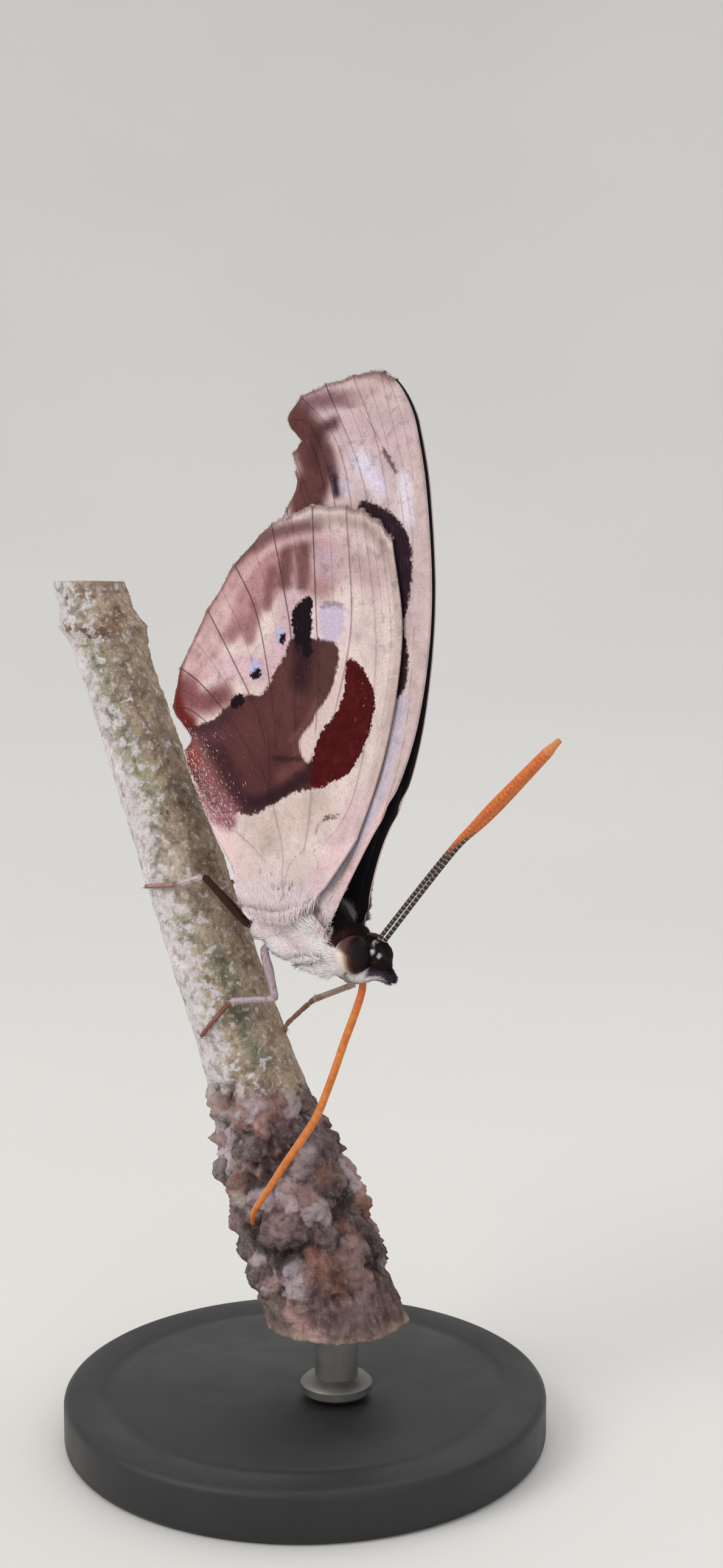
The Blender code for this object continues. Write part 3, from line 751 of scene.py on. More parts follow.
FORE_CROSS_VEINS = [
    [(4.2, 1.6), (5.4, 3.4), (6.8, 5.9), (8.2, 9.2), (9.3, 12.6), (10, 16.5), (10.4, 21)],
    [(3.7, 2.4), (5, 4.6), (6.2, 7), (7.3, 9.9), (8.1, 12.4), (8.6, 15.6)],
    [(5.2, 35.6), (6.6, 34.2), (7.8, 32.6), (8.6, 31.4), (9.2, 29.4), (9.6, 27.4)],
]


def fore_offset(points):
    """Distance of the fore wings' middle surface from the body's middle plane."""
    return TIP_OFFSET + ROOT_OFFSET * np.exp(-(distance_to_line(points, HINGE) / WING_FALL) ** 1.25)


def across_positions(widths):
    """Shares of the way between two ribs at which columns run, close together at the veins."""
    near = [np.minimum(gap / widths, share) for gap, share in zip(NEAR_VEIN, NEAR_VEIN_SHARE)]
    inner = near[-1]
    even = [
        inner + (1.0 - 2.0 * inner) * step / (EVEN_BETWEEN + 1) for step in range(1, EVEN_BETWEEN + 1)]
    return [np.zeros_like(widths)] + near + even + [1.0 - share for share in near[::-1]]


def wing_plan(base, ribs, rows):
    """The wing laid flat: for each column and row its place and its distances, in millimetres."""
    roots = smooth_path(base, len(ribs))
    lines = np.array([smooth_path([root] + points, rows) for root, (_, _, _, points) in zip(roots, ribs)])
    gaps = np.linalg.norm(np.diff(lines, axis=0), axis=2)
    chords = np.diff(lines, axis=0) / gaps[:, :, None]
    inner = (chords[:-1] * gaps[1:, :, None] + chords[1:] * gaps[:-1, :, None])
    inner /= (gaps[:-1] + gaps[1:])[:, :, None]
    leaving = np.concatenate([chords[:1], inner, chords[-1:]])
    arriving = leaving.copy()
    for number, (_, _, sharp, _) in enumerate(ribs):
        if sharp and 0 < number < len(ribs) - 1:
            leaving[number] = chords[number]
            arriving[number] = chords[number - 1]
    along = np.linspace(0.0, 1.0, rows)
    lengths = np.array([np.linalg.norm(np.diff(line, axis=0), axis=1).sum() for line in lines])
    columns = []
    spread = np.zeros(rows)
    for number in range(len(ribs) - 1):
        width = gaps[number]
        shares = across_positions(width)
        if number == len(ribs) - 2:
            shares = shares + [np.ones(rows)]
        for share in shares:
            t = share[:, None]
            start, end = lines[number], lines[number + 1]
            run = width[:, None]
            point = ((2.0 * t ** 3 - 3.0 * t ** 2 + 1.0) * start
                     + (t ** 3 - 2.0 * t ** 2 + t) * leaving[number] * run
                     + (3.0 * t ** 2 - 2.0 * t ** 3) * end
                     + (t ** 3 - t ** 2) * arriving[number + 1] * run)
            near_first = share < 0.5
            veined = np.where(near_first, ribs[number][1], ribs[number + 1][1])
            to_rib = np.minimum(share, 1.0 - share) * width
            length = lengths[number] + (lengths[number + 1] - lengths[number]) * share
            columns.append({
                "place": point,
                "to_vein": np.where(veined, to_rib, FAR),
                "to_fold": (share - 0.5) * width,
                "share": share,
                "width": width,
                "from_costa": spread + share * width,
                "to_margin": (1.0 - along) * length,
                "strand": np.column_stack([number + share, along * length * 0.12,
                                           np.zeros(rows)]),
            })
        spread = spread + width
    plan = {key: np.stack([column[key] for column in columns]) for key in columns[0]}
    plan["along"] = np.broadcast_to(along, plan["share"].shape)
    return plan


def ragged(points, size, reach, seed):
    """A small uneven push, the same each time, for a worn edge."""
    return np.array([noise.noise(Vector((x * size, z * size, seed))) for x, z in points]) * reach


def build_wing(name, side, hind, settings, finishes, cross_veins, markings, painted):
    base, ribs = (HIND_BASE, HIND_RIBS) if hind else (FORE_BASE, FORE_RIBS)
    rows = settings.rows
    plan = wing_plan(base, ribs, rows)
    columns = len(plan["share"])
    made, column, row = sheet_grid(name, columns, rows)
    flat = {key: values[column, row] for key, values in plan.items()}
    seed = 3.0 * side + (7.0 if hind else 1.0)

    # Worn margin, drawn in a little between the veins
    toward = unit(np.gradient(plan["place"], axis=1))[column, row]
    edge = ease(flat["along"], 0.93, 1.0)
    room = np.minimum(flat["width"] / 2.0, 1.0)
    scallop = (0.13 if hind else 0.06) * np.sin(pi * flat["share"]) ** 2 * room
    nibble = ragged(flat["place"], 2.1, 0.12, seed) + ragged(flat["place"], 6.0, 0.05, seed + 4.0)
    points = flat["place"] - toward * (edge * (scallop + nibble + 0.04))[:, None]

    cross = np.full(len(points), FAR)
    for vein in cross_veins:
        cross = np.minimum(cross, distance_to_line(points, smooth_path(vein, 40)))
    # The ribs fade towards the root, where the branches take over
    carries = ease(flat["along"], 0.3, 0.46) if hind else ease(flat["along"], 0.08, 0.3)
    to_vein = flat["to_vein"] + FAR * (1.0 - carries)
    ridge = settings.vein_rise * np.exp(-(to_vein / 0.09) ** 2)
    ridge = np.maximum(ridge, settings.vein_rise * np.exp(-(cross / 0.1) ** 2))
    calm = np.minimum(flat["width"] / 2.2, 1.0) * carries
    pleat = settings.pleat * (np.cos(2.0 * pi * flat["share"]) - 0.2) * calm
    sway = np.array([noise.noise(Vector((x * 0.13, z * 0.13, side))) for x, z in points]) * 0.2
    gap = fore_offset(points)
    offset = gap + settings.thickness / 2.0 + ridge + pleat * 0.8 + sway * np.minimum(gap, 0.6)
    if hind:
        offset = offset + HIND_BESIDE_FORE + 0.25 * ease(gap, 0.4, 1.6)
    else:
        offset = np.maximum(offset, settings.thickness + 0.02)
    closing = offset - drawn_offset(points, hind)
    ahead, level = points.T + np.outer(CLOSING_SHIFT, closing)
    whole = np.column_stack([ahead, side * offset, level])
    move_to(made, place_all(whole))

    point_layer(made, "to_vein", np.minimum(to_vein, FAR))
    point_layer(made, "room", room ** 2)
    point_layer(made, "to_cross", cross)
    for key in ("to_fold", "to_margin", "from_costa", "strand"):
        point_layer(made, key, flat[key])
    for key, (base_colour, strokes) in painted.items():
        colour_layer(made, key, paint(points, base_colour, strokes))
    for mark, outlines in markings.items():
        depths = [depth_inside(points, outline) for outline in outlines]
        point_layer(made, mark, np.maximum(np.max(depths, axis=0), -FAR))

    # Outward faces first, then the thickness is grown inwards
    with editing(made):
        bpy.ops.mesh.normals_make_consistent()
    if normals_of(made)[:, 1].mean() * side < 0.0:
        made.data.flip_normals()
    for material in finishes:
        made.data.materials.append(material)
    bpy.ops.object.modifier_add(type="SOLIDIFY")
    shell = made.modifiers[-1]
    shell.thickness = settings.thickness * MM
    shell.offset = -1.0
    shell.material_offset = 1
    apply_modifiers(made)
    finish_piece(made, None, "wing", [name])
    return made


def stroke_oval(centre, half_x, half_z, turn=0.0, count=12):
    """Points of an oval, for a spot's outline."""
    swing = radians(turn)
    points = []
    for number in range(count):
        angle = 2.0 * pi * number / count
        x, z = half_x * cos(angle), half_z * sin(angle)
        points.append((centre[0] + x * cos(swing) - z * sin(swing),
                       centre[1] + x * sin(swing) + z * cos(swing)))
    return points


DISCAL_BAND = [
    (0, 20.3), (-0.6, 19), (-1.4, 18), (-1.9, 17), (-2.6, 16.4), (-3.9, 16.3), (-5.5, 15.6), (-6.5, 14.7),
    (-7.5, 14.2), (-8.6, 13.9), (-9.6, 13.4), (-9.4, 11.6), (-8.3, 10.2), (-7.5, 9.4), (-6.8, 8.7),
    (-5.5, 8), (-3.9, 8.1), (-3, 8), (-2.3, 8.2), (-1.5, 8.7), (-0.6, 9.1), (0.2, 9.6), (1, 9.9),
    (1.7, 10.1), (2.6, 10.4), (2.4, 12), (2, 13.2), (2.2, 14.4), (2.9, 15.6), (3.7, 16.6), (4.2, 17.9),
    (4.45, 19.3), (4.1, 20.2), (2.2, 20.35), (0.9, 20.6),
]
CRESCENT = [
    (5.1, 19.3), (4.5, 18.6), (4, 17.3), (3.4, 16.3), (2.6, 15.5), (2.1, 14.6), (1.3, 13.8), (1.1, 13),
    (1.7, 12), (2.2, 12.2), (2.5, 13.2), (3, 14.3), (3.9, 15.1), (4.6, 16.2), (5, 17.4), (5.3, 18.7),
]
RED_PATCH = [
    (5.4, 19.2), (6.5, 18.6), (7.3, 17.6), (7.7, 16.6), (7.6, 15.5), (7.2, 14.1), (6.7, 13),
    (6.1, 12.1), (5.4, 11.4), (4.5, 10.9), (3.5, 10.5), (2.5, 10.25), (2.2, 11), (2.3, 12.1),
    (2.55, 13.2), (3.05, 14.2), (4, 15.1), (4.7, 16.2), (5, 17.4), (5.1, 18.6),
]
HIND_BLACK_SPOTS = [
    [(0.1, 21.2), (0.2, 22.2), (0.9, 22.9), (1.7, 23.2), (2.1, 22.9), (1.9, 22), (2, 21.2),
     (1.8, 20.2), (2.1, 19.4), (1.3, 19), (1, 19.9), (0.6, 19.5), (0.4, 20.2)],
    stroke_oval((-0.72, 20.35), 0.27, 0.42, -20),
    stroke_oval((-3.1, 17.8), 0.5, 0.36, 35),
    stroke_oval((-4.75, 15.85), 0.7, 0.5, 30),
]
HIND_HALOS = [
    stroke_oval((-0.95, 20.55), 0.42, 0.55, -20),
    stroke_oval((-3.2, 18.15), 0.55, 0.62, 30),
]
LILAC_OVAL = [
    (2.65, 20.9), (2.6, 22), (2.9, 22.6), (3.8, 22.75), (4.7, 22.6), (4.95, 21.9), (4.8, 21), (4.4, 20.4),
    (3.6, 20.25), (2.95, 20.4),
]
LILAC_FRINGE = [
    (2.7, 22.3), (3, 22.75), (3.8, 22.9), (4.7, 22.8), (5, 22.3), (4.3, 22.5), (3.4, 22.45),
]
HIND_DASHES = [
    [(3.3, 8.05), (3.9, 8.2), (4.5, 8.35), (4.95, 8.6), (5, 8.75), (4.4, 8.6), (3.8, 8.5), (3.3, 8.2)],
    stroke_oval((0.35, 2.45), 0.1, 0.14),
    stroke_oval((1, 3.4), 0.09, 0.12),
    stroke_oval((0.05, 3.3), 0.08, 0.11),
]
FORE_BLACK_BAND = [
    (5.3, 29), (6.3, 29.3), (7.9, 28.75), (8.9, 28.2), (9.8, 27.1), (10.15, 26),
    (10.15, 24.2), (9.9, 22.6), (9.45, 21.2), (9.75, 20.1), (9.9, 18.8), (9.65, 17.4),
    (9, 16.5), (8.4, 16.9), (8.2, 18.4), (8.1, 21), (8.1, 24), (7.7, 26), (6.7, 27.6),
]
FORE_LINES = [
    [(7.55, 32.7), (8.1, 32.35), (8.6, 31.7), (9, 31.1), (8.85, 31), (8.3, 31.55),
     (7.8, 32.2)],
]
WOOL_SPOTS = [
    (1.1, 3.3), (0.3, 3.3), (0.5, 2.4), (-0.4, 3), (-0.7, 3.8), (-1.7, 3.9), (2.6, 2.5), (2.7, 1.9),
    (1.9, 2), (3.1, 1.6),
]

HIND_GROUND = [
    ([(-11.4, 16.6), (-9, 20.3), (-6.4, 23), (-3, 25.2), (0.3, 25.4), (2.3, 25.3)], 2.3, 0.8,
     (176, 132, 134), 1),
    ([(2.2, 25.6), (5, 25.6), (7.6, 24.6)], 1.2, 1.1, (192, 164, 167), 0.9),
    ([(-7.6, 18.2), (-6, 17.9), (-4.4, 18.4), (-3.2, 17.9), (-1.5, 18.7), (-0.7, 20.6), (-0.1, 22.6),
      (0.8, 23.9)], 0.95, 0.55, (208, 177, 184), 1),
    ([(2.2, 22.6), (2.3, 20.8), (5.2, 20.2), (5.1, 22.6)], 0.45, 0.4, (220, 198, 202), 1),
    ([(-9.6, 18.3), (-7.9, 19.5), (-6.9, 20.9), (-6.3, 22.6)], 0.8, 0.6, (208, 176, 176), 0.95),
    ([(-5.7, 20.4), (-4.6, 21.3)], 0.6, 0.45, (150, 106, 108), 0.9),
    ([(-3.9, 20.4), (-3.4, 22.4)], 0.6, 0.4, (146, 102, 104), 0.9),
    ([(-2.3, 22.6), (-1.9, 24.8)], 0.5, 0.35, (134, 90, 93), 0.95),
    ([(-0.6, 24.2), (-0.4, 26.4)], 0.6, 0.35, (114, 76, 77), 0.95),
    ([(1.1, 24.2), (1.2, 26.3)], 0.65, 0.35, (112, 76, 75), 0.95),
    ([(3.2, 25.4)], 0.9, 0.8, (182, 158, 174), 0.8),
    ([(8.6, 26), (7.6, 27), (5, 27.35), (2, 27.2), (-0.8, 26.75), (-3.2, 25.7), (-5, 24), (-7.2, 21.9),
      (-9.3, 19.7)], 0.28, 0.3, (208, 180, 182), 0.7),
    ([(-5.2, 25.6), (-2.4, 27.2), (-0.7, 27.65), (1, 27.9), (2.6, 28)], 0.42, 0.36, (104, 74, 76), 0.85),
    ([(2.2, 28.2), (5, 28.2), (7.4, 27.5), (8.7, 26)], 0.4, 0.35, (172, 146, 144), 0.8),
    ([(8.95, 25.8), (9.55, 23.5), (9.8, 20.8), (8.7, 14.2), (6.5, 7.8)], 0.3, 0.3, (196, 174, 168), 0.9),
    ([(-8, 21.6), (-5.6, 24.2), (-3.8, 25.7)], 0.45, 0.4, (192, 156, 157), 0.75),
    ([(-9.2, 18.9), (-7.9, 17.9)], 0.6, 0.5, (200, 164, 164), 0.8),
    ([(-9.8, 16.4), (-8.2, 15.6), (-6, 16.2)], 0.85, 0.6, (128, 80, 82), 0.95),
    ([(-11.2, 17.4), (-11, 15.8), (-10.2, 14.7), (-9.2, 14)], 0.75, 0.5, (98, 28, 25), 0.95),
    ([(-9, 9.8), (-6.7, 6.6), (-4.6, 3.8)], 1.3, 1, (234, 200, 200), 1),
    ([(-7.6, 9.2), (-6.2, 7.9), (-4.8, 7.4)], 0.6, 0.45, (140, 88, 95), 0.9),
    ([(-3, 2.4), (0, 2), (3, 2.8)], 1.3, 1.1, (204, 188, 194), 0.9),
    ([(3.4, 4), (5, 6.6), (6.3, 9.8)], 0.8, 0.7, (220, 190, 194), 0.85),
    ([(1.8, 4), (2.4, 5.2)], 0.6, 0.6, (205, 188, 180), 0.7),
    ([(-2.4, 6.4), (0.2, 8), (3.2, 9.2)], 1.3, 1, (204, 184, 176), 0.85),
    ([(3, 7.3), (3.2, 7.9)], 0.08, 0.1, (140, 112, 108), 0.8),
]
HIND_TINTS = [
    ([(-3.5, 13.4), (-0.6, 15), (-0.2, 17.2)], 1.6, 1.2, (94, 57, 56), 0.85),
    ([(3.4, 19.7), (3.8, 18.4), (3, 16.8)], 0.95, 0.8, (84, 57, 51), 0.9),
    ([(0.9, 20.8), (1.2, 19.5), (1, 17.6)], 0.85, 0.7, (44, 27, 33), 0.95),
    ([(-0.2, 10.9), (0.9, 11.3), (1.1, 12.5)], 0.65, 0.5, (112, 70, 68), 0.7),
    ([(0.4, 13.4), (1.6, 14.6), (2.6, 16.2)], 0.25, 0.3, (126, 88, 82), 0.6),
    ([(-3.9, 9), (-2.3, 9), (-0.3, 9.8), (1, 10.6), (2.1, 11.2), (2.4, 12.3)], 0.5, 0.45,
     (42, 24, 31), 0.95),
    ([(-3.9, 8.5), (-5, 10.9), (-6.5, 12.6)], 0.55, 0.6, (64, 37, 44), 0.9),
    ([(-6.7, 15.1), (-5.9, 13.7), (-7.1, 13.6)], 0.8, 0.6, (92, 57, 61), 0.8),
    ([(-8.6, 12.4), (-7.3, 10.8), (-6.3, 9.4), (-4.6, 8)], 0.75, 0.6, (146, 94, 98), 0.92),
    ([(-9.6, 13.2), (-9.1, 12.3), (-8.3, 11.4)], 0.5, 0.45, (140, 56, 48), 0.9),
    ([(-8.4, 14), (-6.8, 14.1), (-5.2, 15)], 0.35, 0.4, (62, 38, 44), 0.7),
    ([(-1.2, 12.15), (0, 12.1), (1.5, 12.25)], 0.12, 0.14, (42, 25, 28), 0.9),
    ([(0.9, 11.1), (1.9, 11.3)], 0.16, 0.18, (46, 28, 30), 0.8),
]
FORE_GROUND = [
    ([(1, 34.6), (5, 34.6), (9, 33.2)], 1.7, 1.1, (200, 175, 179), 1),
    ([(-1, 35.4), (1.2, 36), (3.4, 36.05), (4.8, 35.95)], 0.55, 0.5, (124, 92, 98), 0.95),
    ([(4.8, 36), (7, 36.5)], 0.4, 0.5, (176, 150, 154), 0.8),
    ([(0.2, 37), (3, 37.6), (6, 37.7), (8.4, 37)], 0.35, 0.35, (158, 128, 130), 0.9),
    ([(0.5, 34.2), (1.6, 34.9), (3.2, 35.2), (5.2, 35.15), (8.4, 35.1)], 0.2, 0.25, (204, 182, 182), 0.9),
    ([(-0.9, 34.9), (0.8, 33.6), (1.6, 31.4), (0.6, 29.4)], 1.5, 0.6, (98, 62, 61), 1),
    ([(1.7, 33.6), (1.4, 32.2)], 0.6, 0.5, (78, 47, 48), 0.9),
    ([(2.2, 34.2), (3.3, 34.5)], 0.45, 0.4, (86, 58, 62), 0.9),
    ([(2.6, 32.6), (3, 31.4)], 0.6, 0.5, (96, 64, 68), 0.9),
    ([(3.3, 30.9), (3.5, 29.9)], 0.3, 0.28, (48, 33, 46), 1),
    ([(4.4, 30.3)], 0.5, 0.45, (196, 188, 208), 0.9),
    ([(5, 32.1)], 0.35, 0.35, (180, 170, 192), 0.8),
    ([(5.6, 31.9), (6.7, 31.1), (7.3, 30.2)], 0.75, 0.7, (216, 206, 224), 1),
    ([(9.5, 30.6), (9.7, 29), (9.9, 28.2)], 0.6, 0.55, (222, 212, 224), 1),
    ([(10.95, 33), (11.15, 26), (10.7, 18), (9.3, 12), (6.8, 6.8), (4.9, 3.2)], 0.5, 0.35,
     (200, 178, 178), 1),
    # Painted highlight: a grey-lilac shine along the subcostal ridge
    ([(9.4, 16.4), (8.8, 13.6), (7.1, 8.6), (5.4, 5.9), (3.6, 3.3)], 0.45, 0.35, (196, 186, 200), 1),
    ([(5.6, 5.6), (4.7, 3.8), (4.2, 2.4)], 0.3, 0.35, (168, 148, 136), 0.7),
    ([(8.3, 9.2), (6.5, 5.9), (5, 3.3), (4.3, 1.5)], 0.5, 0.4, (226, 192, 194), 0.95),
]


def under_wing_finish(name, hind):
    """Scales over the membrane: soft ground, ragged markings, fine brown veins and worn flecks."""
    f = Finish(name)
    strand = f.layer("strand", "Vector")
    grain = f.cloud(9000.0, 2.0, 0.6)
    mottle = f.cloud(1300.0, 5.0, 0.65)
    broad = f.cloud(380.0, 3.0, 0.6)
    streaks = f.cloud(2.2, 4.0, 0.65, f.mapped(strand, Scale=(26.0, 2.2, 1.0)))
    wander = f.minus(f.cloud(3200.0, 3.0, 0.7), 0.5)
    ragged_by = f.times(wander, 0.8)
    streaky = f.times(f.minus(streaks, 0.5), 0.9)

    def mark(depth, soft, rough=ragged_by):
        return f.rise(f.plus(f.layer(depth), rough), -soft, soft)

    colour = f.layer("ground", "Color")
    # Mottling, strongest towards the outer margin
    lighter = f.rise(streaks, 0.4, 0.75)
    darker = f.rise(mottle, 0.48, 0.72)
    outside = f.rise(f.layer("to_margin"), 11.0, 6.0, 0.18, 0.36)
    tone = f.minus(f.rise(streaks, 0.4, 0.75, 1.0, 1.12), f.times(darker, outside))
    tone = f.times(tone, f.rise(broad, 0.4, 0.72, 1.06, 0.88))
    colour = f.shade(colour, tone)
    if hind:
        tint = f.blend(f.times(lighter, 0.14), f.layer("tint", "Color"), (142, 98, 94))
        tint = f.blend(f.times(darker, 0.4), tint, (52, 30, 34))
        colour = f.blend(mark("band", 0.12), colour, tint)
        colour = f.blend(mark("crescent", 0.12, streaky), colour, (216, 194, 190))
        red = f.blend(f.rise(mottle, 0.35, 0.75), (66, 14, 16), (90, 24, 24))
        colour = f.blend(mark("red_patch", 0.06), colour, red)
        colour = f.blend(f.times(mark("halo", 0.25), 0.9), colour, (178, 184, 222))
        colour = f.blend(f.times(mark("lilac", 0.16), 0.85), colour, (196, 182, 208))
        colour = f.blend(f.times(mark("lilac_fringe", 0.14), 0.6), colour, (116, 98, 116))
        colour = f.blend(mark("black_spot", 0.1), colour, (26, 17, 24))
        colour = f.blend(f.times(mark("dash", 0.1), 0.85), colour, (84, 52, 50))
    else:
        band = f.blend(f.rise(streaks, 0.5, 0.66), (40, 25, 33), (78, 58, 72))
        colour = f.blend(mark("black_band", 0.1), colour, band)
        colour = f.blend(f.times(mark("dash", 0.1), 0.85), colour, (92, 68, 76))

    # Veins, folds and cross veins as thin brown lines, finer and paler near the root
    outer = f.rise(f.layer("to_margin"), 15.0, 9.0)
    vein = f.rise(f.layer("to_vein"), 0.1, 0.03)
    away = f.rise(f.layer("from_costa"), 2.5, 6.5, 0.3, 1.0)
    vein = f.times(f.times(vein, away), f.layer("room"))
    vein = f.times(vein, f.plus(f.times(outer, 0.3), 0.45))
    fold = f.rise(f.maths("ABSOLUTE", f.layer("to_fold")), 0.05, 0.015)
    fold = f.times(fold, f.times(f.rise(f.layer("to_margin"), 9.0, 4.0), 0.4))
    cross = f.rise(f.layer("to_cross"), 0.08, 0.02, 0.0, 0.6)
    colour = f.blend(cross, colour, f.blend(0.6, colour, (52, 34, 44)))
    lines = f.most(vein, fold)
    lines = f.times(lines, f.rise(mottle, 0.25, 0.5, 0.6, 1.0))
    colour = f.blend(lines, colour, (74, 46, 46))

    # Margin: a thin brown line, and dust, flecks and scratches where scales have rubbed off
    rim = f.rise(f.layer("to_margin"), 0.4, 0.1)
    rim = f.times(rim, f.rise(streaks, 0.35, 0.6, 0.25, 0.8))
    colour = f.blend(rim, colour, (106, 74, 70))
    fleck = f.rise(f.cloud(5200.0, 2.0, 0.5), 0.7, 0.76)
    patchy = f.rise(f.cloud(420.0, 2.0, 0.5), 0.46, 0.62)
    patchy = f.most(patchy, f.rise(f.layer("to_margin"), 1.2, 0.1, 0.0, 0.25))
    rubbed = f.times(f.rise(streaks, 0.62, 0.74), 0.16)
    worn = f.most(fleck, rubbed)
    colour = f.blend(f.times(f.times(worn, patchy), 0.32), colour, (226, 204, 200))
    fine = f.rise(grain, 0.3, 0.72, 0.86, 1.1)
    colour = f.shade(colour, fine)
    rows_of_scales = f.cells(8500.0)
    first = f.bump(rows_of_scales, 0.00003, 0.35)
    return f.surface(Base_Color=colour, Roughness=f.rise(grain, 0.3, 0.7, 0.7, 0.85),
                     Specular_IOR_Level=0.06, Normal=f.bump(streaks, 0.00008, 0.45, first))


def upper_wing_finish():
    """The wings' inner faces: black-brown scales with a faint blue sheen."""
    f = Finish("wing_upper_scales")
    streaks = f.cloud(2.2, where=f.mapped(f.layer("strand", "Vector"), Scale=(26.0, 2.2, 1.0)))
    colour = f.ramp(streaks, [(0.3, (15, 11, 13)), (0.7, (30, 22, 24))])
    vein = f.rise(f.layer("to_vein"), 0.12, 0.03)
    colour = f.blend(vein, colour, (10, 8, 9))
    scales = f.cells(8500.0)
    return f.surface(Base_Color=colour, Roughness=0.62, Specular_IOR_Level=0.3, Sheen_Weight=0.08,
                     Sheen_Tint=rgba((90, 110, 190)), Normal=f.bump(scales, 0.00003, 0.4))


def coat_finish(name, roughness=0.8, sheen=0.1):
    """Wool or scales: each tuft has the colour of its own root."""
    f = Finish(name)
    grain = f.cloud(7000.0, 2.0, 0.6)
    fine = f.rise(grain, 0.25, 0.75, 0.86, 1.08)
    colour = f.shade(f.layer("coat_colour", "Color"), fine)
    return f.surface(Base_Color=colour, Normal=f.bump(grain, 0.00002, 0.3), Roughness=roughness,
                     Sheen_Weight=sheen, Sheen_Roughness=0.4, Specular_IOR_Level=0.12)


class BUTTERFLY_OT_wings(Operator):
    """Add the four wings, each with its raised veins, markings, fringe and root wool"""
    bl_idname = "butterfly.wings"
    bl_label = "Wings"
    bl_options = {"REGISTER", "UNDO"}

    def execute(self, context):
        settings = context.scene.butterfly_wings
        upper = upper_wing_finish()
        hind_marks = {"band": [DISCAL_BAND], "crescent": [CRESCENT], "red_patch": [RED_PATCH],
                      "black_spot": HIND_BLACK_SPOTS, "halo": HIND_HALOS, "lilac": [LILAC_OVAL],
                      "lilac_fringe": [LILAC_FRINGE], "dash": HIND_DASHES}
        fore_marks = {"black_band": [FORE_BLACK_BAND], "dash": FORE_LINES}
        hind_paint = {"ground": ((220, 201, 198), HIND_GROUND), "tint": ((84, 49, 50), HIND_TINTS)}
        fore_paint = {"ground": ((204, 182, 182), FORE_GROUND)}
        hind_under = under_wing_finish("hindwing_under_scales", True)
        fore_under = under_wing_finish("forewing_under_scales", False)
        fringe = coat_finish("wing_fringe")
        wool = coat_finish("wing_root_wool")
        for word, side in SIDES.items():
            made = build_wing("forewing_" + word, side, False, settings, (fore_under, upper),
                              FORE_CROSS_VEINS, fore_marks, fore_paint)
            add_fringe("fringe_fore_" + word, made, side, False, fringe)
            add_root_wool("wool_fore_root_" + word, made, side, settings.wool_tufts // 2, wool)
            made = build_wing("hindwing_" + word, side, True, settings, (hind_under, upper),
                              HIND_CROSS_VEINS, hind_marks, hind_paint)
            add_fringe("fringe_hind_" + word, made, side, True, fringe)
            add_root_wool("wool_hind_root_" + word, made, side, settings.wool_tufts, wool)
        return {"FINISHED"}


# Fringe scales whose nearest point of the wing is looked up together
AT_ONCE = 200


def add_fringe(name, wing, side, hind, material):
    """Short scales that stand out from the rubbed outer margin."""
    count = 1800 if hind else 1200
    mesh_points = own_frame(positions_of(wing))
    to_margin = layer_values(wing, "to_margin")
    outer = mesh_points[to_margin < 0.02]
    draw = np.random.default_rng(41 if hind else 40)
    roots = outer[draw.integers(0, len(outer), count)] + draw.normal(0.0, 0.04, (count, 3))
    inner = mesh_points[(to_margin > 0.6) & (to_margin < 1.0)]
    lie = np.empty((count, 3))
    for number in range(0, count, AT_ONCE):
        block = slice(number, number + AT_ONCE)
        gap = ((inner[None, :, :] - roots[block, None, :]) ** 2).sum(2)
        lie[block] = roots[block] - inner[gap.argmin(1)]
    lie = unit(lie) + draw.normal(0.0, 0.2, (count, 3))
    normals = np.tile((0.0, side, 0.0), (count, 1))
    mixed = draw.random(count)[:, None] ** 1.5
    colours = linear((208, 186, 182)) * (1.0 - mixed) + linear((112, 80, 76)) * mixed
    patch = np.column_stack([(roots[:, 0] + 14.0) / 28.0, roots[:, 2] / 40.0])
    made = tufts(name, roots, normals, lie, draw.uniform(0.05, 0.13, count),
                 draw.uniform(0.014, 0.024, count), 0.0, colours, np.clip(patch, 0.005, 0.995))
    finish_piece(made, material, "wing")


def wing_patch(flat):
    """Places on the unwrap of a wing's wool."""
    patch = np.column_stack([(flat[:, 0] + 14.0) / 28.0, (flat[:, 1] + 4.0) / 44.0])
    return np.clip(patch, 0.005, 0.995)


def root_wool_colour(flat, draw):
    colours = paint(flat, (236, 216, 218), [
        ([(-3.4, 2.6), (-1.0, 3.4), (1.0, 2.2), (3.0, 2.4)], 0.7, 0.7, (238, 222, 226), 0.8),
        ([(-4.0, 5.0), (-2.6, 4.0)], 0.9, 0.8, (238, 214, 208), 0.9)]
        + [([spot], 0.16, 0.14, (112, 80, 82), 0.85) for spot in WOOL_SPOTS])
    return np.clip(colours * draw.uniform(0.9, 1.12, (len(flat), 1)), 0.0, 1.0)


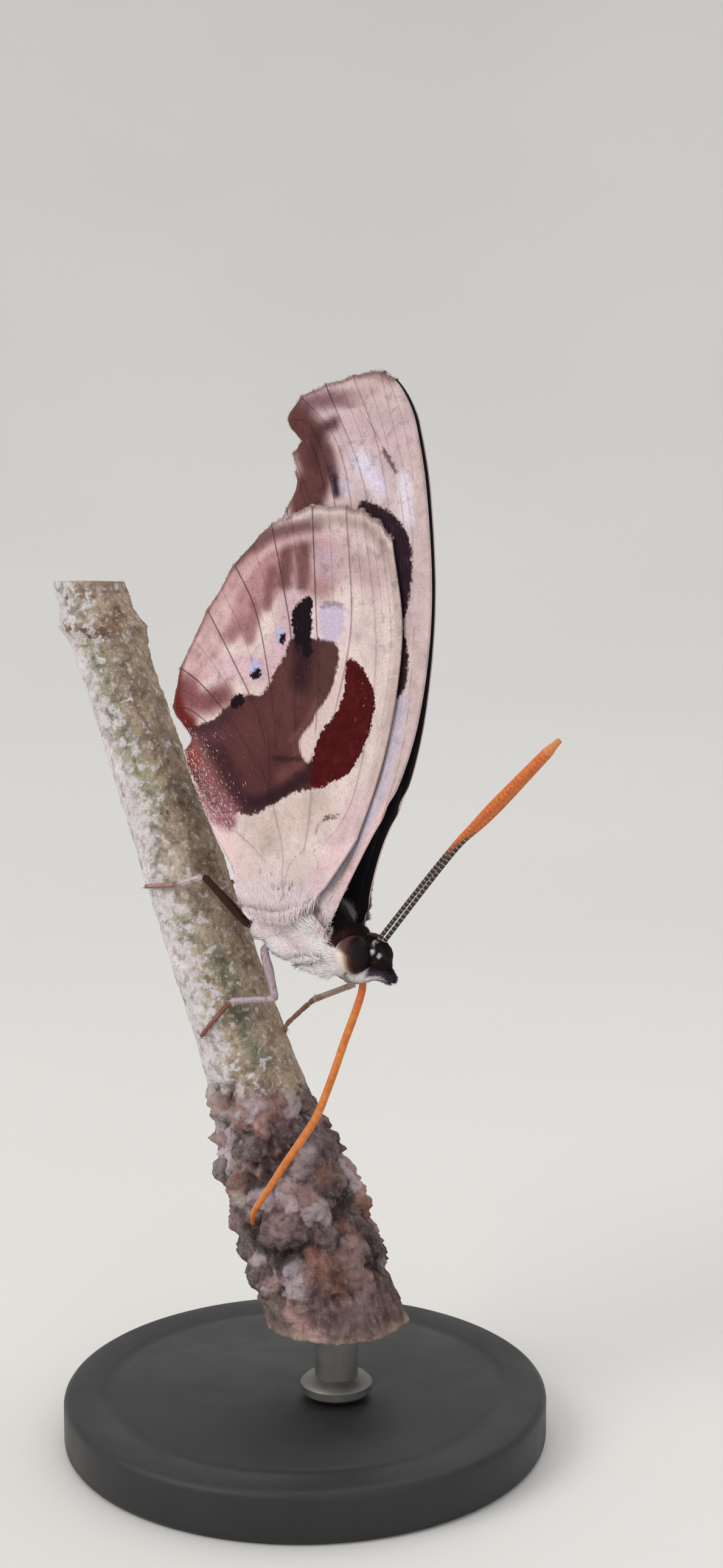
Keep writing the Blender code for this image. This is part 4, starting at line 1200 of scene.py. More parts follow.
def add_root_wool(name, wing, side, count, material):
    """Wool that streams from the hinge over the root of a wing, spotted with brown."""
    roots, normals, draw = scatter(
        wing, count * 2, 61, lambda c: np.exp(-(distance_to_line(c[:, (0, 2)], HINGE) / 1.5) ** 1.4))
    keep = np.flatnonzero(normals[:, 1] * side > 0.5)[:count]
    roots, normals = roots[keep], normals[keep]
    flat = roots[:, (0, 2)]
    away = flat - (1.4, -2.6)
    lie = np.column_stack([away[:, 0], np.zeros(len(flat)), away[:, 1]])
    lie = unit(lie) + draw.normal(0.0, 0.2, (len(flat), 3))
    colours = root_wool_colour(flat, draw)
    lengths = draw.uniform(0.35, 0.75, len(flat)) * (1.0 - 0.5 * ease(flat[:, 1], 3.0, 6.0))
    made = tufts(
        name, roots - normals * 0.02, normals, lie, lengths, draw.uniform(0.016, 0.028, len(flat)),
        draw.uniform(0.02, 0.16, len(flat)), colours, wing_patch(flat))
    finish_piece(made, material, "body_wool")
    # A hem of longer wool that hangs from the wing's root edge over the thorax
    base = np.array(HIND_BASE if name.startswith("wool_hind") else FORE_BASE)
    roots, normals, draw = scatter(
        wing, count, 63, lambda c: np.exp(-(distance_to_line(c[:, (0, 2)], base) / 0.5) ** 2))
    keep = normals[:, 1] * side > 0.5
    roots, normals = roots[keep], normals[keep]
    flat = roots[:, (0, 2)]
    forward = 0.6 * (1.2 - flat[:, 0]) / 3.0
    lie = np.column_stack([forward, np.zeros(len(flat)), np.full(len(flat), -1.0)])
    lie = lie + draw.normal(0.0, 0.25, (len(flat), 3))
    made = tufts(name + "_hem", roots, normals, lie, draw.uniform(0.6, 1.3, len(flat)),
                 draw.uniform(0.02, 0.034, len(flat)), draw.uniform(-0.4, 0.1, len(flat)),
                 root_wool_colour(flat, draw), wing_patch(flat))
    finish_piece(made, material, "body_wool")


# Stage

TABLE_RADIUS = 0.2
WALL_RISE = 0.62
WALL_STEPS = 16


def add_table(settings):
    """A round table top whose edge curves up into a plain wall on every side."""
    clear_selection()
    bpy.ops.mesh.primitive_circle_add(vertices=96, radius=TABLE_RADIUS, fill_type="NGON")
    made = made_now("studio_table")
    with editing(made):
        bpy.ops.mesh.inset(thickness=0.05)
    work = bmesh.new()
    work.from_mesh(made.data)
    rim = [edge for edge in work.edges if edge.is_boundary]
    for step in range(1, WALL_STEPS + 1):
        angle = radians(90.0) * step / WALL_STEPS
        radius = TABLE_RADIUS + WALL_RISE * sin(angle)
        height = WALL_RISE * (1.0 - cos(angle))
        grown = bmesh.ops.extrude_edge_only(work, edges=rim)["geom"]
        rim = [part for part in grown if isinstance(part, bmesh.types.BMEdge)]
        ring = {vertex for edge in rim for vertex in edge.verts}
        for vertex in ring:
            flat = Vector((vertex.co.x, vertex.co.y, 0.0)).normalized()
            vertex.co = flat * radius + Vector((0.0, 0.0, height))
    bmesh.ops.recalc_face_normals(work, faces=work.faces[:])
    work.to_mesh(made.data)
    work.free()
    f = Finish("table_paper")
    fibres = f.cloud(900.0, 4.0, 0.6)
    tone = f.rise(f.cloud(6.0, 3.0, 0.5), 0.3, 0.7)
    base = (*settings.floor, 1.0)
    shaded = tuple(part * 0.96 for part in settings.floor) + (1.0,)
    made.data.materials.append(f.surface(
        Base_Color=f.blend(tone, base, shaded), Roughness=0.9, Specular_IOR_Level=0.15,
        Normal=f.bump(fibres, 0.00005, 0.2)))
    pick(made)
    bpy.ops.object.shade_smooth()
    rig.stage(made)


def add_lamp(name, place_at, aim, size, power, colour=(255, 250, 244)):
    data = bpy.data.lights.new(name, "AREA")
    data.shape = "DISK"
    data.size = size
    data.energy = power
    data.color = tuple(linear(colour))
    made = bpy.data.objects.new(name, data)
    bpy.context.scene.collection.objects.link(made)
    made.location = place_at
    made.rotation_euler = (Vector(aim) - Vector(place_at)).to_track_quat("-Z", "Y").to_euler()
    made.visible_camera = False


AIM = (5.4, 0.0, 10.58)
LENS_ON_36 = 44.69


class BUTTERFLY_OT_stage(Operator):
    """Add the table, the soft lamps and the camera at the photograph's angle"""
    bl_idname = "butterfly.stage"
    bl_label = "Table, light and camera"
    bl_options = {"REGISTER", "UNDO"}

    def execute(self, context):
        settings = context.scene.butterfly_stage
        add_table(settings)
        turn, rise = settings.camera_azimuth, settings.camera_elevation
        back = Vector((sin(turn) * cos(rise), -cos(turn) * cos(rise), sin(rise)))
        aim = place(AIM)
        data = bpy.data.cameras.new("camera")
        data.sensor_fit = "VERTICAL"
        data.sensor_height = 36.0
        data.sensor_width = 36.0
        data.lens = LENS_ON_36
        data.clip_start = 0.005
        data.clip_end = 20.0
        camera = bpy.data.objects.new("camera", data)
        context.scene.collection.objects.link(camera)
        camera.location = aim + back * settings.camera_distance
        camera.rotation_euler = back.to_track_quat("Z", "Y").to_euler()
        context.scene.camera = camera
        add_lamp("key_lamp", (-0.12, -0.4, 0.34), aim, 0.3, 1.1)
        add_lamp("fill_lamp", (0.42, -0.16, 0.2), aim, 0.4, 0.3, (240, 246, 255))
        add_lamp("top_lamp", (-0.05, 0.1, 0.5), aim, 0.4, 0.35)
        world = bpy.data.worlds.new("studio")
        world.use_nodes = True
        sky = world.node_tree.nodes["Background"]
        sky.inputs["Color"].default_value = rgba((238, 240, 244))
        sky.inputs["Strength"].default_value = 0.96
        context.scene.world = world
        context.scene.view_settings.view_transform = "Standard"
        context.scene.view_settings.look = "None"
        return {"FINISHED"}


# Branch and stand

BRANCH_AXIS_X = -10.8
BRANCH_LEAN = radians(27.08)
BRANCH_TOP = 24.0
BRANCH_BOTTOM = -27.0
BRANCH_RADII = [
    (-31, 4.9), (-27, 4.9), (-18, 4.85), (-14.5, 4), (-12.5, 3.6), (-9, 3.3), (0, 3.2), (13, 2.8),
    (18.8, 2.8), (19.8, 2.95), (20.6, 3.2), (21.4, 2.9), (22, 2.75), (24, 2.7),
]
BELOW_CUT = 4.0
BARK_AROUND = 200
BARK_RINGS = 360
# Scale of the rings of points that close an end of the branch, from the bark inwards
CAP_SCALES = (1.0, 0.72, 0.4, 0.0)
WOUND_TOP = -11.4
WOOD_BARE = -24.4
WOUND_TINTS = [(44, 30, 38), (150, 114, 110), (186, 172, 180), (128, 76, 56), (76, 48, 54)]
BARK_COLOURS = [
    # As seen from the front: (distance right of the middle, level)
    ([(-2.7, 24), (-2.8, 8), (-3, -11)], 1.15, 0.8, (226, 220, 226), 0.9),
    ([(-1.4, 24), (-1.4, 6), (-1.6, -10)], 0.6, 0.6, (186, 179, 170), 0.7),
    ([(2.4, 24), (2.5, 6), (2.9, -11)], 1.2, 0.9, (156, 134, 112), 0.9),
    ([(-1.2, 19), (-0.9, 17.3), (-0.7, 13.5), (-0.4, 10), (-0.4, 6.6)], 0.5, 0.5,
     (138, 140, 114), 0.75),
    ([(0.2, 4.4), (-0.6, 1), (0, -0.6)], 0.6, 0.5, (196, 186, 166), 0.75),
    ([(0.8, -2.6), (1, -4.2), (1, -8.3), (1.5, -9.4)], 0.55, 0.5, (104, 106, 86), 0.85),
    ([(-2.7, -4.6), (-2.7, -6.6)], 0.7, 0.5, (190, 194, 180), 0.8),
    ([(0.7, 15.8), (1.7, 9.4), (2.1, 3.7), (2.6, -1.4)], 0.4, 0.4, (118, 94, 74), 0.7),
    ([(-2.3, 20.5), (0.2, 20.2), (1.8, 21.7)], 0.5, 0.45, (100, 72, 54), 0.9),
    ([(-2.1, 22.9), (0.6, 23)], 0.25, 0.25, (106, 80, 62), 0.8),
    ([(-2.8, 12.1)], 0.2, 0.12, (150, 82, 66), 0.9),
    ([(-2.9, 6.4)], 0.18, 0.12, (150, 82, 66), 0.9),
    ([(-3.3, -10.7)], 0.26, 0.15, (156, 84, 66), 0.9),
    ([(0.6, 7.4)], 0.16, 0.12, (150, 82, 66), 0.9),
    ([(-7, -19.4), (7, -19.4)], 7.4, 0.7, (88, 60, 62), 1),
    ([(-3.6, -11.6), (-3.4, -12.6)], 0.6, 0.4, (208, 202, 206), 0.9),
    ([(0.7, -11.6), (1.2, -12.5), (1.7, -13.3)], 0.55, 0.4, (112, 52, 60), 0.9),
    ([(0.5, -13.9)], 0.3, 0.2, (36, 23, 25), 0.95),
    ([(-0.5, -13.5)], 0.3, 0.16, (190, 122, 72), 0.9),
    ([(-3.2, -13.6), (-4.5, -17)], 0.9, 0.6, (176, 166, 170), 0.9),
    ([(-2.8, -15.1)], 0.42, 0.25, (42, 31, 36), 0.95),
    ([(-4.2, -17.5)], 0.4, 0.25, (42, 31, 36), 0.95),
    ([(-3.5, -18.2), (-3.2, -18.9)], 0.4, 0.25, (228, 214, 204), 0.95),
    ([(0.2, -16.8), (1.2, -16.2), (2.3, -15.2)], 0.8, 0.5, (198, 182, 192), 0.9),
    ([(3.1, -16.8)], 0.6, 0.4, (152, 86, 60), 0.9),
    ([(4.5, -16.8), (4.7, -18.8)], 0.7, 0.5, (152, 122, 116), 0.9),
    ([(4.1, -18.1), (4.4, -18.7)], 0.26, 0.2, (46, 30, 35), 0.9),
    ([(-1.1, -22.5), (0.2, -21.1), (2.8, -20.5), (4.2, -22)], 0.95, 0.6, (46, 30, 40), 0.95),
    ([(-4.7, -21.6), (-4.7, -24)], 0.7, 0.5, (62, 46, 52), 0.9),
    ([(-1.8, -20.4), (-0.2, -18.5)], 0.65, 0.5, (150, 113, 110), 0.9),
    ([(-2.6, -22.9)], 0.6, 0.5, (146, 112, 110), 0.9),
    ([(-3.6, -25.8)], 0.7, 0.5, (64, 46, 48), 0.9),
    ([(-2.2, -25.4), (-1.6, -26.9)], 0.8, 0.6, (176, 138, 128), 0.9),
    ([(2.3, -24.9), (1.1, -26.1)], 0.7, 0.6, (128, 106, 106), 0.9),
]


def branch_axis(level):
    return np.array([BRANCH_AXIS_X - level * np.tan(BRANCH_LEAN), 0.0 * level, level])


def branch_radius(level):
    levels, radii = zip(*BRANCH_RADII)
    return np.interp(level, levels, radii)


def on_bark(level, angle, lift=0.3):
    """Point beside the bark; the angle runs from the side that faces the thorax to the left."""
    towards = np.array([cos(BRANCH_LEAN), 0.0, sin(BRANCH_LEAN)])
    beside = np.array([0.0, 1.0, 0.0])
    turn = radians(angle)
    reach = float(branch_radius(level)) + lift
    return branch_axis(level) + (towards * cos(turn) + beside * sin(turn)) * reach


def rough(point, size, seed, octaves=3):
    return noise.fractal(Vector(point) * size + Vector((seed, seed * 1.7, -seed)), 0.9, 2.1,
                         octaves, noise_basis="PERLIN_ORIGINAL")


def rough_at(points, size, seed):
    return np.array([rough(point, size, seed) for point in points])


def lumps(point, size, seed):
    """Height of round lumps, about 1 on a lump and 0 in a crease, and a number for each lump."""
    near, spots = noise.voronoi(Vector(point) * size + Vector((seed, 0.0, seed)))
    return max(1.0 - 1.5 * near[0] ** 2, 0.0), noise.cell(spots[0] * 17.0)


def build_bark(settings):
    """The branch's skin, ring by ring, with its knob, its cracked bark and its wound."""
    caps, last = len(CAP_SCALES), BARK_RINGS - 1
    made, around, ring = sheet_grid("branch_bark", BARK_AROUND + 1, BARK_RINGS + 2 * caps)
    deep = BRANCH_BOTTOM - BELOW_CUT
    level = deep + (BRANCH_TOP - deep) * np.clip(ring - caps, 0, last) / last
    turn = 2.0 * pi * (around % BARK_AROUND) / BARK_AROUND
    points = np.empty((len(turn), 3))
    seen = np.empty((len(turn), 2))
    creases = np.empty(len(turn))
    kinds = np.empty(len(turn))
    lean = Vector((-sin(BRANCH_LEAN), 0.0, cos(BRANCH_LEAN)))
    for index, (height, angle, radius) in enumerate(zip(level, turn, branch_radius(level))):
        flat = Vector((cos(angle), sin(angle), 0.0))
        axis = Vector(branch_axis(height))
        spot = axis + flat * radius
        along_grain = spot - lean * spot.dot(lean) * 0.7
        border = 1.6 * rough(spot, 0.3, 31.0, 2)
        wound = float(ease(-height + border, -WOUND_TOP - 0.6, -WOUND_TOP + 1.2))
        bare = float(ease(-height + border, -WOOD_BARE - 0.4, -WOOD_BARE + 0.6))
        knob = float(np.exp(-((height - 20.6 + 0.5 * cos(angle)) / 0.9) ** 2))
        push = settings.bark_relief * (rough(spot, 0.55, 2.0) + 0.55 * rough(spot, 2.4, 5.0, 4))
        small, _ = lumps(spot, 1.5, 3.0)
        push += settings.bark_relief * 0.5 * (small - 0.6) * (1.0 - wound)
        push += knob * (0.16 * rough(spot, 1.6, 9.0) + 0.12)
        bent = spot + Vector((rough(spot, 0.7, 41.0, 2), rough(spot, 0.7, 43.0, 2), 0.0))
        large, kinds[index] = lumps(bent, 0.47, 11.0)
        mound = large + 0.22 * small + 0.22 * rough(spot, 2.2, 8.0)
        push += wound * (1.0 - bare) * settings.wound_relief * (mound - 0.78)
        push += bare * (0.22 * rough(along_grain, 1.5, 6.0, 4)
                        + 0.5 * max(rough(along_grain, 0.4, 17.0, 2), -0.3) - 0.2)
        across = (flat.x * 0.731 + flat.y * 0.682) * (radius + push)
        stray = 0.5 * rough(spot, 1.1, 13.0)
        points[index] = axis + flat * (radius + push)
        seen[index] = across + stray, height + stray * 0.8
        creases[index] = small * (1.0 - wound) + wound * min(large * 0.9 + small * 0.2, 1.0)
    # The rings beyond the ends close them: flat below, a shallow saw cut above
    for below, end_level in ((True, deep), (False, BRANCH_TOP)):
        axis = branch_axis(end_level)
        beyond = caps - ring if below else ring - caps - last
        for step, scale in enumerate(CAP_SCALES, 1):
            here = beyond == step
            points[here] = axis + (points[here] - axis) * scale
            if not below:
                points[here, 2] += 0.02 * step
    move_to(made, place_all(points))
    colours = paint(seen, (156, 139, 118), BARK_COLOURS)
    depth = -seen[:, 1]
    torn = ease(depth, -WOUND_TOP - 0.3, -WOUND_TOP + 0.8) * (1.0 - ease(depth, 23.5, 25.0))
    tint = linear(WOUND_TINTS)[(kinds * 5.0).astype(int) % 5]
    colours = colours + (tint - colours) * (0.55 * torn)[:, None]
    colour_layer(made, "ground", colours)
    point_layer(made, "crease", creases)
    point_layer(made, "level", level)
    point_layer(made, "wound", torn)
    point_layer(made, "across", seen[:, 0])
    mend(made)
    with editing(made):
        bpy.ops.mesh.bisect(plane_co=place(branch_axis(BRANCH_BOTTOM)), plane_no=(0.0, 0.0, -1.0),
                            use_fill=True, clear_outer=True)
    return made


def bark_finish(settings):
    """The painted ground, broken up by pale granules, specks, painted shade in the creases between the lumps, and
    grain.
    """
    f = Finish("bark")
    level = f.layer("level")
    crease = f.layer("crease")
    wound = f.layer("wound")
    bare = f.rise(level, WOOD_BARE + 1.2, WOOD_BARE - 0.2)
    woody = f.most(wound, bare)
    fine = f.cloud(4200.0, 5.0, 0.65)
    small = f.cloud(1300.0, 5.0, 0.62)
    patches = f.cloud(420.0, 4.0, 0.6)
    long_way = f.mapped(f.where, Scale=(1.0, 1.0, 0.22), Rotation=(0.0, -BRANCH_LEAN, 0.0))
    grain = f.cloud(1900.0, 4.0, 0.6, long_way)
    ground = f.layer("ground", "Color")
    tone = f.rise(patches, 0.32, 0.68, 0.72, 1.28)
    colour = f.shade(ground, tone)
    grained = f.rise(grain, 0.3, 0.7)
    colour = f.blend(f.times(grained, 0.25), colour, (178, 164, 150))
    # Pale granules, thick on the side that faces left and thin on the right
    thick = f.rise(f.layer("across"), 1.6, -2.4, -0.07, 0.1)
    crust = f.plus(f.plus(small, thick), f.times(crease, 0.06))
    crust = f.rise(crust, 0.54, 0.63)
    crust = f.times(crust, f.rise(fine, 0.36, 0.56, 0.3, 0.85))
    crust = f.times(crust, f.rise(woody, 0.0, 1.0, 1.0, 0.12))
    colour = f.blend(crust, colour, (*settings.lichen, 1.0))
    # Painted shade in the creases between the lumps, dark specks and small scars
    cracks = f.rise(f.plus(crease, f.times(fine, 0.3)), 0.62, 0.26)
    cracks = f.times(cracks, f.rise(wound, 0.0, 1.0, 0.4, 0.95))
    colour = f.blend(cracks, colour, f.blend(0.86, colour, (28, 17, 20)))
    speck = f.rise(fine, 0.64, 0.72)
    colour = f.blend(f.times(speck, 0.6), colour, (74, 58, 46))
    scar = f.rise(f.cloud(620.0, 3.0, 0.6), 0.66, 0.72)
    colour = f.blend(f.times(scar, 0.5), colour, (112, 76, 60))
    grit = f.cloud(2700.0, 4.0, 0.7)
    light_grit = f.times(f.rise(grit, 0.55, 0.64), f.rise(woody, 0.0, 1.0, 0.45, 0.08))
    colour = f.blend(light_grit, colour, (222, 212, 210))
    dark_grit = f.times(f.rise(grit, 0.45, 0.36), 0.4)
    colour = f.blend(dark_grit, colour, (80, 62, 52))
    # The sawn upper end
    sawn = f.rise(level, BRANCH_TOP - 0.02, BRANCH_TOP - 0.001)
    middle = f.mapped(f.where, Location=tuple(-place(branch_axis(BRANCH_TOP))))
    rings = f.put("TexWave", Vector=middle, Scale=420.0, Distortion=1.6, Detail=2.0)
    rings.wave_type = "RINGS"
    rings.rings_direction = "Z"
    end = f.blend(rings.outputs["Fac"], (196, 170, 134), (158, 128, 92))
    up = f.put("SeparateXYZ", Vector=f.put("NewGeometry").outputs["True Normal"])
    sawn = f.times(sawn, f.rise(up.outputs["Z"], 0.7, 0.9))
    wet = f.times(wound, f.rise(small, 0.55, 0.4))
    under = f.bump(fine, 0.00012, 0.7)
    return f.surface(Base_Color=f.blend(sawn, colour, end), Roughness=f.rise(wet, 0.0, 1.0, 0.9, 0.5),
                     Specular_IOR_Level=0.25, Normal=f.bump(small, 0.0004, 0.7, under))


class BUTTERFLY_OT_branch(Operator):
    """Add the cut branch with its knob, crusts, wound and bare wood"""
    bl_idname = "butterfly.branch"
    bl_label = "Branch"
    bl_options = {"REGISTER", "UNDO"}

    def execute(self, context):
        settings = context.scene.butterfly_branch
        made = build_bark(settings)
        finish_piece(made, bark_finish(settings), "bark", ["perch_branch"])
        return {"FINISHED"}


def stand_finish(name, dark):
    f = Finish(name)
    grit = f.cloud(5200.0, 2.0, 0.5)
    worn = f.cloud(160.0, 4.0, 0.6)
    low, high = ((22, 22, 24), (34, 34, 36)) if dark else ((120, 118, 114), (150, 148, 144))
    return f.surface(
        Base_Color=f.ramp(worn, [(0.35, low), (0.7, high)]), Roughness=f.rise(worn, 0.3, 0.7, 0.42, 0.58),
        Metallic=0.0 if dark else 1.0, Normal=f.bump(grit, 0.00004, 0.35 if dark else 0.1))


class BUTTERFLY_OT_stand(Operator):
    """Add the round base with its turned edge and the rod that carries the branch"""
    bl_idname = "butterfly.stand"
    bl_label = "Stand"
    bl_options = {"REGISTER", "UNDO"}

    def execute(self, context):
        low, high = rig.box("stand_base")
        clear_selection()
        bpy.ops.mesh.primitive_cylinder_add(vertices=160, radius=(high[0] - low[0]) / 2.0,
                                            depth=high[2] - low[2],
                                            location=(0.0, 0.0, (high[2] + low[2]) / 2.0))
        base = made_now("display_base")
        bpy.ops.object.transform_apply()
        with editing(base):
            bpy.ops.mesh.select_mode(type="FACE")
            bpy.ops.mesh.select_all(action="DESELECT")
            work = bmesh.from_edit_mesh(base.data)
            for face in work.faces:
                face.select = face.normal.z > 0.9
            bmesh.update_edit_mesh(base.data)
            bpy.ops.mesh.inset(thickness=2.6 * MM)
            # A shallow groove that runs round the top
            for drop in (-0.28 * MM, 0.28 * MM):
                bpy.ops.mesh.inset(thickness=0.5 * MM)
                bpy.ops.transform.translate(value=(0.0, 0.0, drop))
        bpy.ops.object.modifier_add(type="BEVEL")
        rounded = base.modifiers[-1]
        rounded.width = 0.55 * MM
        rounded.segments = 4
        rounded.limit_method = "ANGLE"
        rounded.angle_limit = radians(40.0)
        apply_modifiers(base)
        finish_piece(base, stand_finish("stand_powder_black", True), "stand", ["stand_base"])
        bpy.ops.object.shade_smooth_by_angle(angle=radians(35.0))
        low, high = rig.box("stand_rod")
        middle_x = (low[0] + high[0]) / 2.0
        height = high[2] - low[2]
        rod = turned("support_rod", middle_x, [
            (0.0, low[2]), (2.3, low[2]), (2.5, low[2] + 0.0002), (2.5, low[2] + 0.0007),
            (2.2, low[2] + 0.001), (1.5, low[2] + 0.0012), (1.5, low[2] + height * 0.5),
            (1.5, high[2] - 0.0009), (2.0, high[2] - 0.0007), (2.0, high[2] - 0.0001),
            (1.9, high[2]), (0.0, high[2])])
        finish_piece(rod, stand_finish("stand_steel", False), "stand", ["stand_rod"])
        bpy.ops.object.shade_smooth_by_angle(angle=radians(35.0))
        return {"FINISHED"}


def turned(name, axis_x, profile):
    """A turned piece from its (radius in millimetres, height in metres) profile."""
    mesh = bpy.data.meshes.new(name)
    mesh.from_pydata([(axis_x + radius * MM, 0.0, height) for radius, height in profile],
                     [(index, index + 1) for index in range(len(profile) - 1)], [])
    made = bpy.data.objects.new(name, mesh)
    bpy.context.collection.objects.link(made)
    with editing(made):
        bpy.ops.mesh.spin(steps=48, angle=2.0 * pi, center=(axis_x, 0.0, 0.0), axis=(0.0, 0.0, 1.0))
    mend(made)
    return made


# Body

ABDOMEN_SPINE = [
    (-1.6, 0, 1.2, 1.2), (-2.65, 0, 1.92, 1.25), (-3.7, 0, 3, 1.3),
    (-4.8, 0, 4.3, 1.38), (-5.9, 0, 5.9, 1.34), (-6.9, 0, 7.6, 1.18),
    (-7.8, 0, 9.4, 0.88), (-8.3, 0, 10.5, 0.45), (-8.45, 0, 10.8, 0.2),
]
WOOL_DEPTH = 0.32
NECK_X = 4.75
RUST = (74, 28, 21)
DIP = radians(20.0)


def rust(points):
    """Share of the orange-brown hairs along the upper rear rim of the eyes."""
    scaled = (np.column_stack([points[:, 0], np.abs(points[:, 1]), points[:, 2]]) - EYE_CENTRE)
    gap = np.linalg.norm(scaled / EYE_HALF, axis=1)
    share = np.exp(-((gap - 1.06) / 0.12) ** 2) * ease(-points[:, 0], -5.7, -4.9)
    return (0.5 * share * ease(points[:, 2], -0.85, -0.3))[:, None]


def egg(name, centre, half, dip=0.0):
    """A swollen form: a sphere at its place, stretched and tipped by the usual operators."""
    clear_selection()
    bpy.ops.mesh.primitive_uv_sphere_add(segments=40, ring_count=24, radius=MM, location=place(centre))
    made = made_now(name)
    made.scale = half
    made.rotation_euler = (0.0, dip, 0.0)
    bpy.ops.object.transform_apply()
    return made


def body_colour(points):
    """Colour of wool and scales by place: pale beside and below, dark on back and collar."""
    x, side, height = points[:, 0], np.abs(points[:, 1]), points[:, 2]
    draw = rough_at(points, 0.9, 21.0)
    pale = paint(points[:, (0, 2)] + draw[:, None] * 0.4, (250, 232, 234), [
        ([(-3.6, 1.8), (0.0, 1.6), (3.2, 0.9)], 0.7, 0.7, (246, 220, 218), 0.9),
        ([(-3.0, -1.4), (1.0, -2.2), (4.4, -2.4)], 0.8, 0.7, (252, 244, 250), 0.9),
        ([(2.8, 0.3), (3.7, -1.0), (4.2, -2.0)], 0.45, 0.45, (254, 246, 244), 0.9),
        ([(-0.8, -0.2), (1.6, -0.6)], 0.35, 0.45, (224, 208, 218), 0.6),
        ([(-4.0, 3.4), (-8.2, 10.4)], 1.6, 0.6, (214, 190, 184), 1.0),
    ])
    grey = ease(draw, 0.15, 0.6)[:, None] * 0.3
    pale = pale * (1.0 - grey) + linear((206, 190, 198)) * grey
    dark = np.tile(linear((24, 16, 17)), (len(points), 1))
    dark = dark + ease(draw, 0.0, 0.6)[:, None] * (linear((50, 34, 32)) - dark)
    back = ease(height, 1.0, 1.5) * (1.0 - ease(side, 1.05, 1.5)) * ease(x, -3.6, -2.4)
    between = ease(height, 1.15, 1.55) * (1.0 - ease(side, 1.6, 1.9)) * ease(x, 1.2, 2.0)
    collar = ease(x + 0.23 * (height + 0.48) + 0.2 * draw, 3.82, 4.0) * ease(height, -0.66, -0.42)
    above = np.maximum(np.maximum(back, between), collar)[:, None]
    colour = pale * (1.0 - above) + dark * above
    return colour + (linear(RUST) - colour) * rust(points)


def head_colour(points):
    """Black-brown face and crown, white cheeks behind and below the eyes, and two pale grey-blue dots on the face that
    are painted highlights.
    """
    x, side, height = points[:, 0], np.abs(points[:, 1]), points[:, 2]
    draw = rough_at(points, 1.6, 33.0)
    dark = np.tile(linear((24, 16, 18)), (len(points), 1))
    dark = dark + ease(draw, 0.1, 0.6)[:, None] * (linear((56, 38, 38)) - dark)
    white = np.tile(linear((244, 234, 230)), (len(points), 1))
    low = ease(-height + draw * 0.15, 1.55, 1.9) * (1.0 - ease(x, 6.6, 7.1))
    rear = (1.0 - ease(x, 4.9, 5.5)) * ease(-height, 0.3, 0.6)
    pale = np.maximum(low, rear)[:, None]
    colour = dark * (1.0 - pale) + white * pale
    colour = colour + (linear(RUST) - colour) * rust(points)
    # Painted highlights: two small pale grey-blue dots that stand for glints on the dark face
    for centre, size in (((7.02, 0.72, -0.5), 0.17), ((7.56, 0.62, -0.74), 0.12)):
        gap = np.sqrt((x - centre[0]) ** 2 + (side - centre[1]) ** 2 + (height - centre[2]) ** 2)
        dot = (1.0 - ease(gap, size * 0.6, size * 1.5))[:, None]
        colour = colour + (linear((206, 212, 214)) - colour) * dot
    return colour


def build_skin():
    """Head, thorax, abdomen, coxae and wing roots fused into one skin."""
    pieces = [
        egg("thorax_form", (1.1, 0.0, 0.35), (4.55, 2.05 - WOOL_DEPTH, 2.65 - WOOL_DEPTH), DIP),
        egg("collar_form", (3.9, 0.0, -0.55), (1.4, 1.15, 1.5), DIP),
        egg("nape_form", (4.5, 0.0, 0.1), (0.95, 1.45, 0.85)),
        egg("breast_form", (3.4, 0.0, -1.5), (1.7, 1.05, 1.0), radians(8.0)),
        egg("head_form", (5.85, 0.0, -0.95), (1.9, 0.95, 1.28)),
        egg("face_form", (7.1, 0.0, -0.78), (0.98, 0.74, 0.92)),
        egg("mouth_form", (7.2, 0.0, -1.45), (0.85, 0.66, 0.7)),
        egg("muzzle_form", (5.8, 0.0, -2.0), (1.5, 0.66, 0.6)),
    ]
    spine = smooth_path(ABDOMEN_SPINE, 60)
    ringed = spine[:, 3] - 0.05 * (np.cos(np.arange(60) / 59.0 * 2.0 * pi * 9.0) > 0.75)
    pieces.append(tube("abdomen_form", spine[:, :3], ringed, 36, 0.9))
    for side in SIDES.values():
        pieces.append(egg("coxa_hind", (-2.2, 1.05 * side, 0.0), (1.7, 0.72, 0.85), radians(-6.0)))
        pieces.append(egg("coxa_mid", (-0.6, 1.05 * side, -0.95), (1.7, 0.72, 0.8), radians(8.0)))
        pieces.append(egg("coxa_fore", (2.9, 0.72 * side, -1.85), (1.0, 0.55, 0.65), DIP))
        pieces.append(egg("hind_root", (-0.5, 1.5 * side, 1.55), (1.4, 0.7, 0.7), radians(10.0)))
        pieces.append(egg("fore_root", (2.3, 1.25 * side, 0.9), (1.2, 0.75, 0.75), radians(25.0)))
    skin = join("body_skin", pieces)
    bpy.ops.object.modifier_add(type="REMESH")
    fused = skin.modifiers[-1]
    fused.mode = "VOXEL"
    fused.voxel_size = 0.13 * MM
    bpy.ops.object.modifier_add(type="SMOOTH")
    eased = skin.modifiers[-1]
    eased.factor = 0.5
    eased.iterations = 6
    apply_modifiers(skin)
    points = own_frame(positions_of(skin))
    head = points[:, 0] > NECK_X
    colours = body_colour(points)
    colours[head] = head_colour(points[head])
    colour_layer(skin, "coat_colour", colours)
    return skin


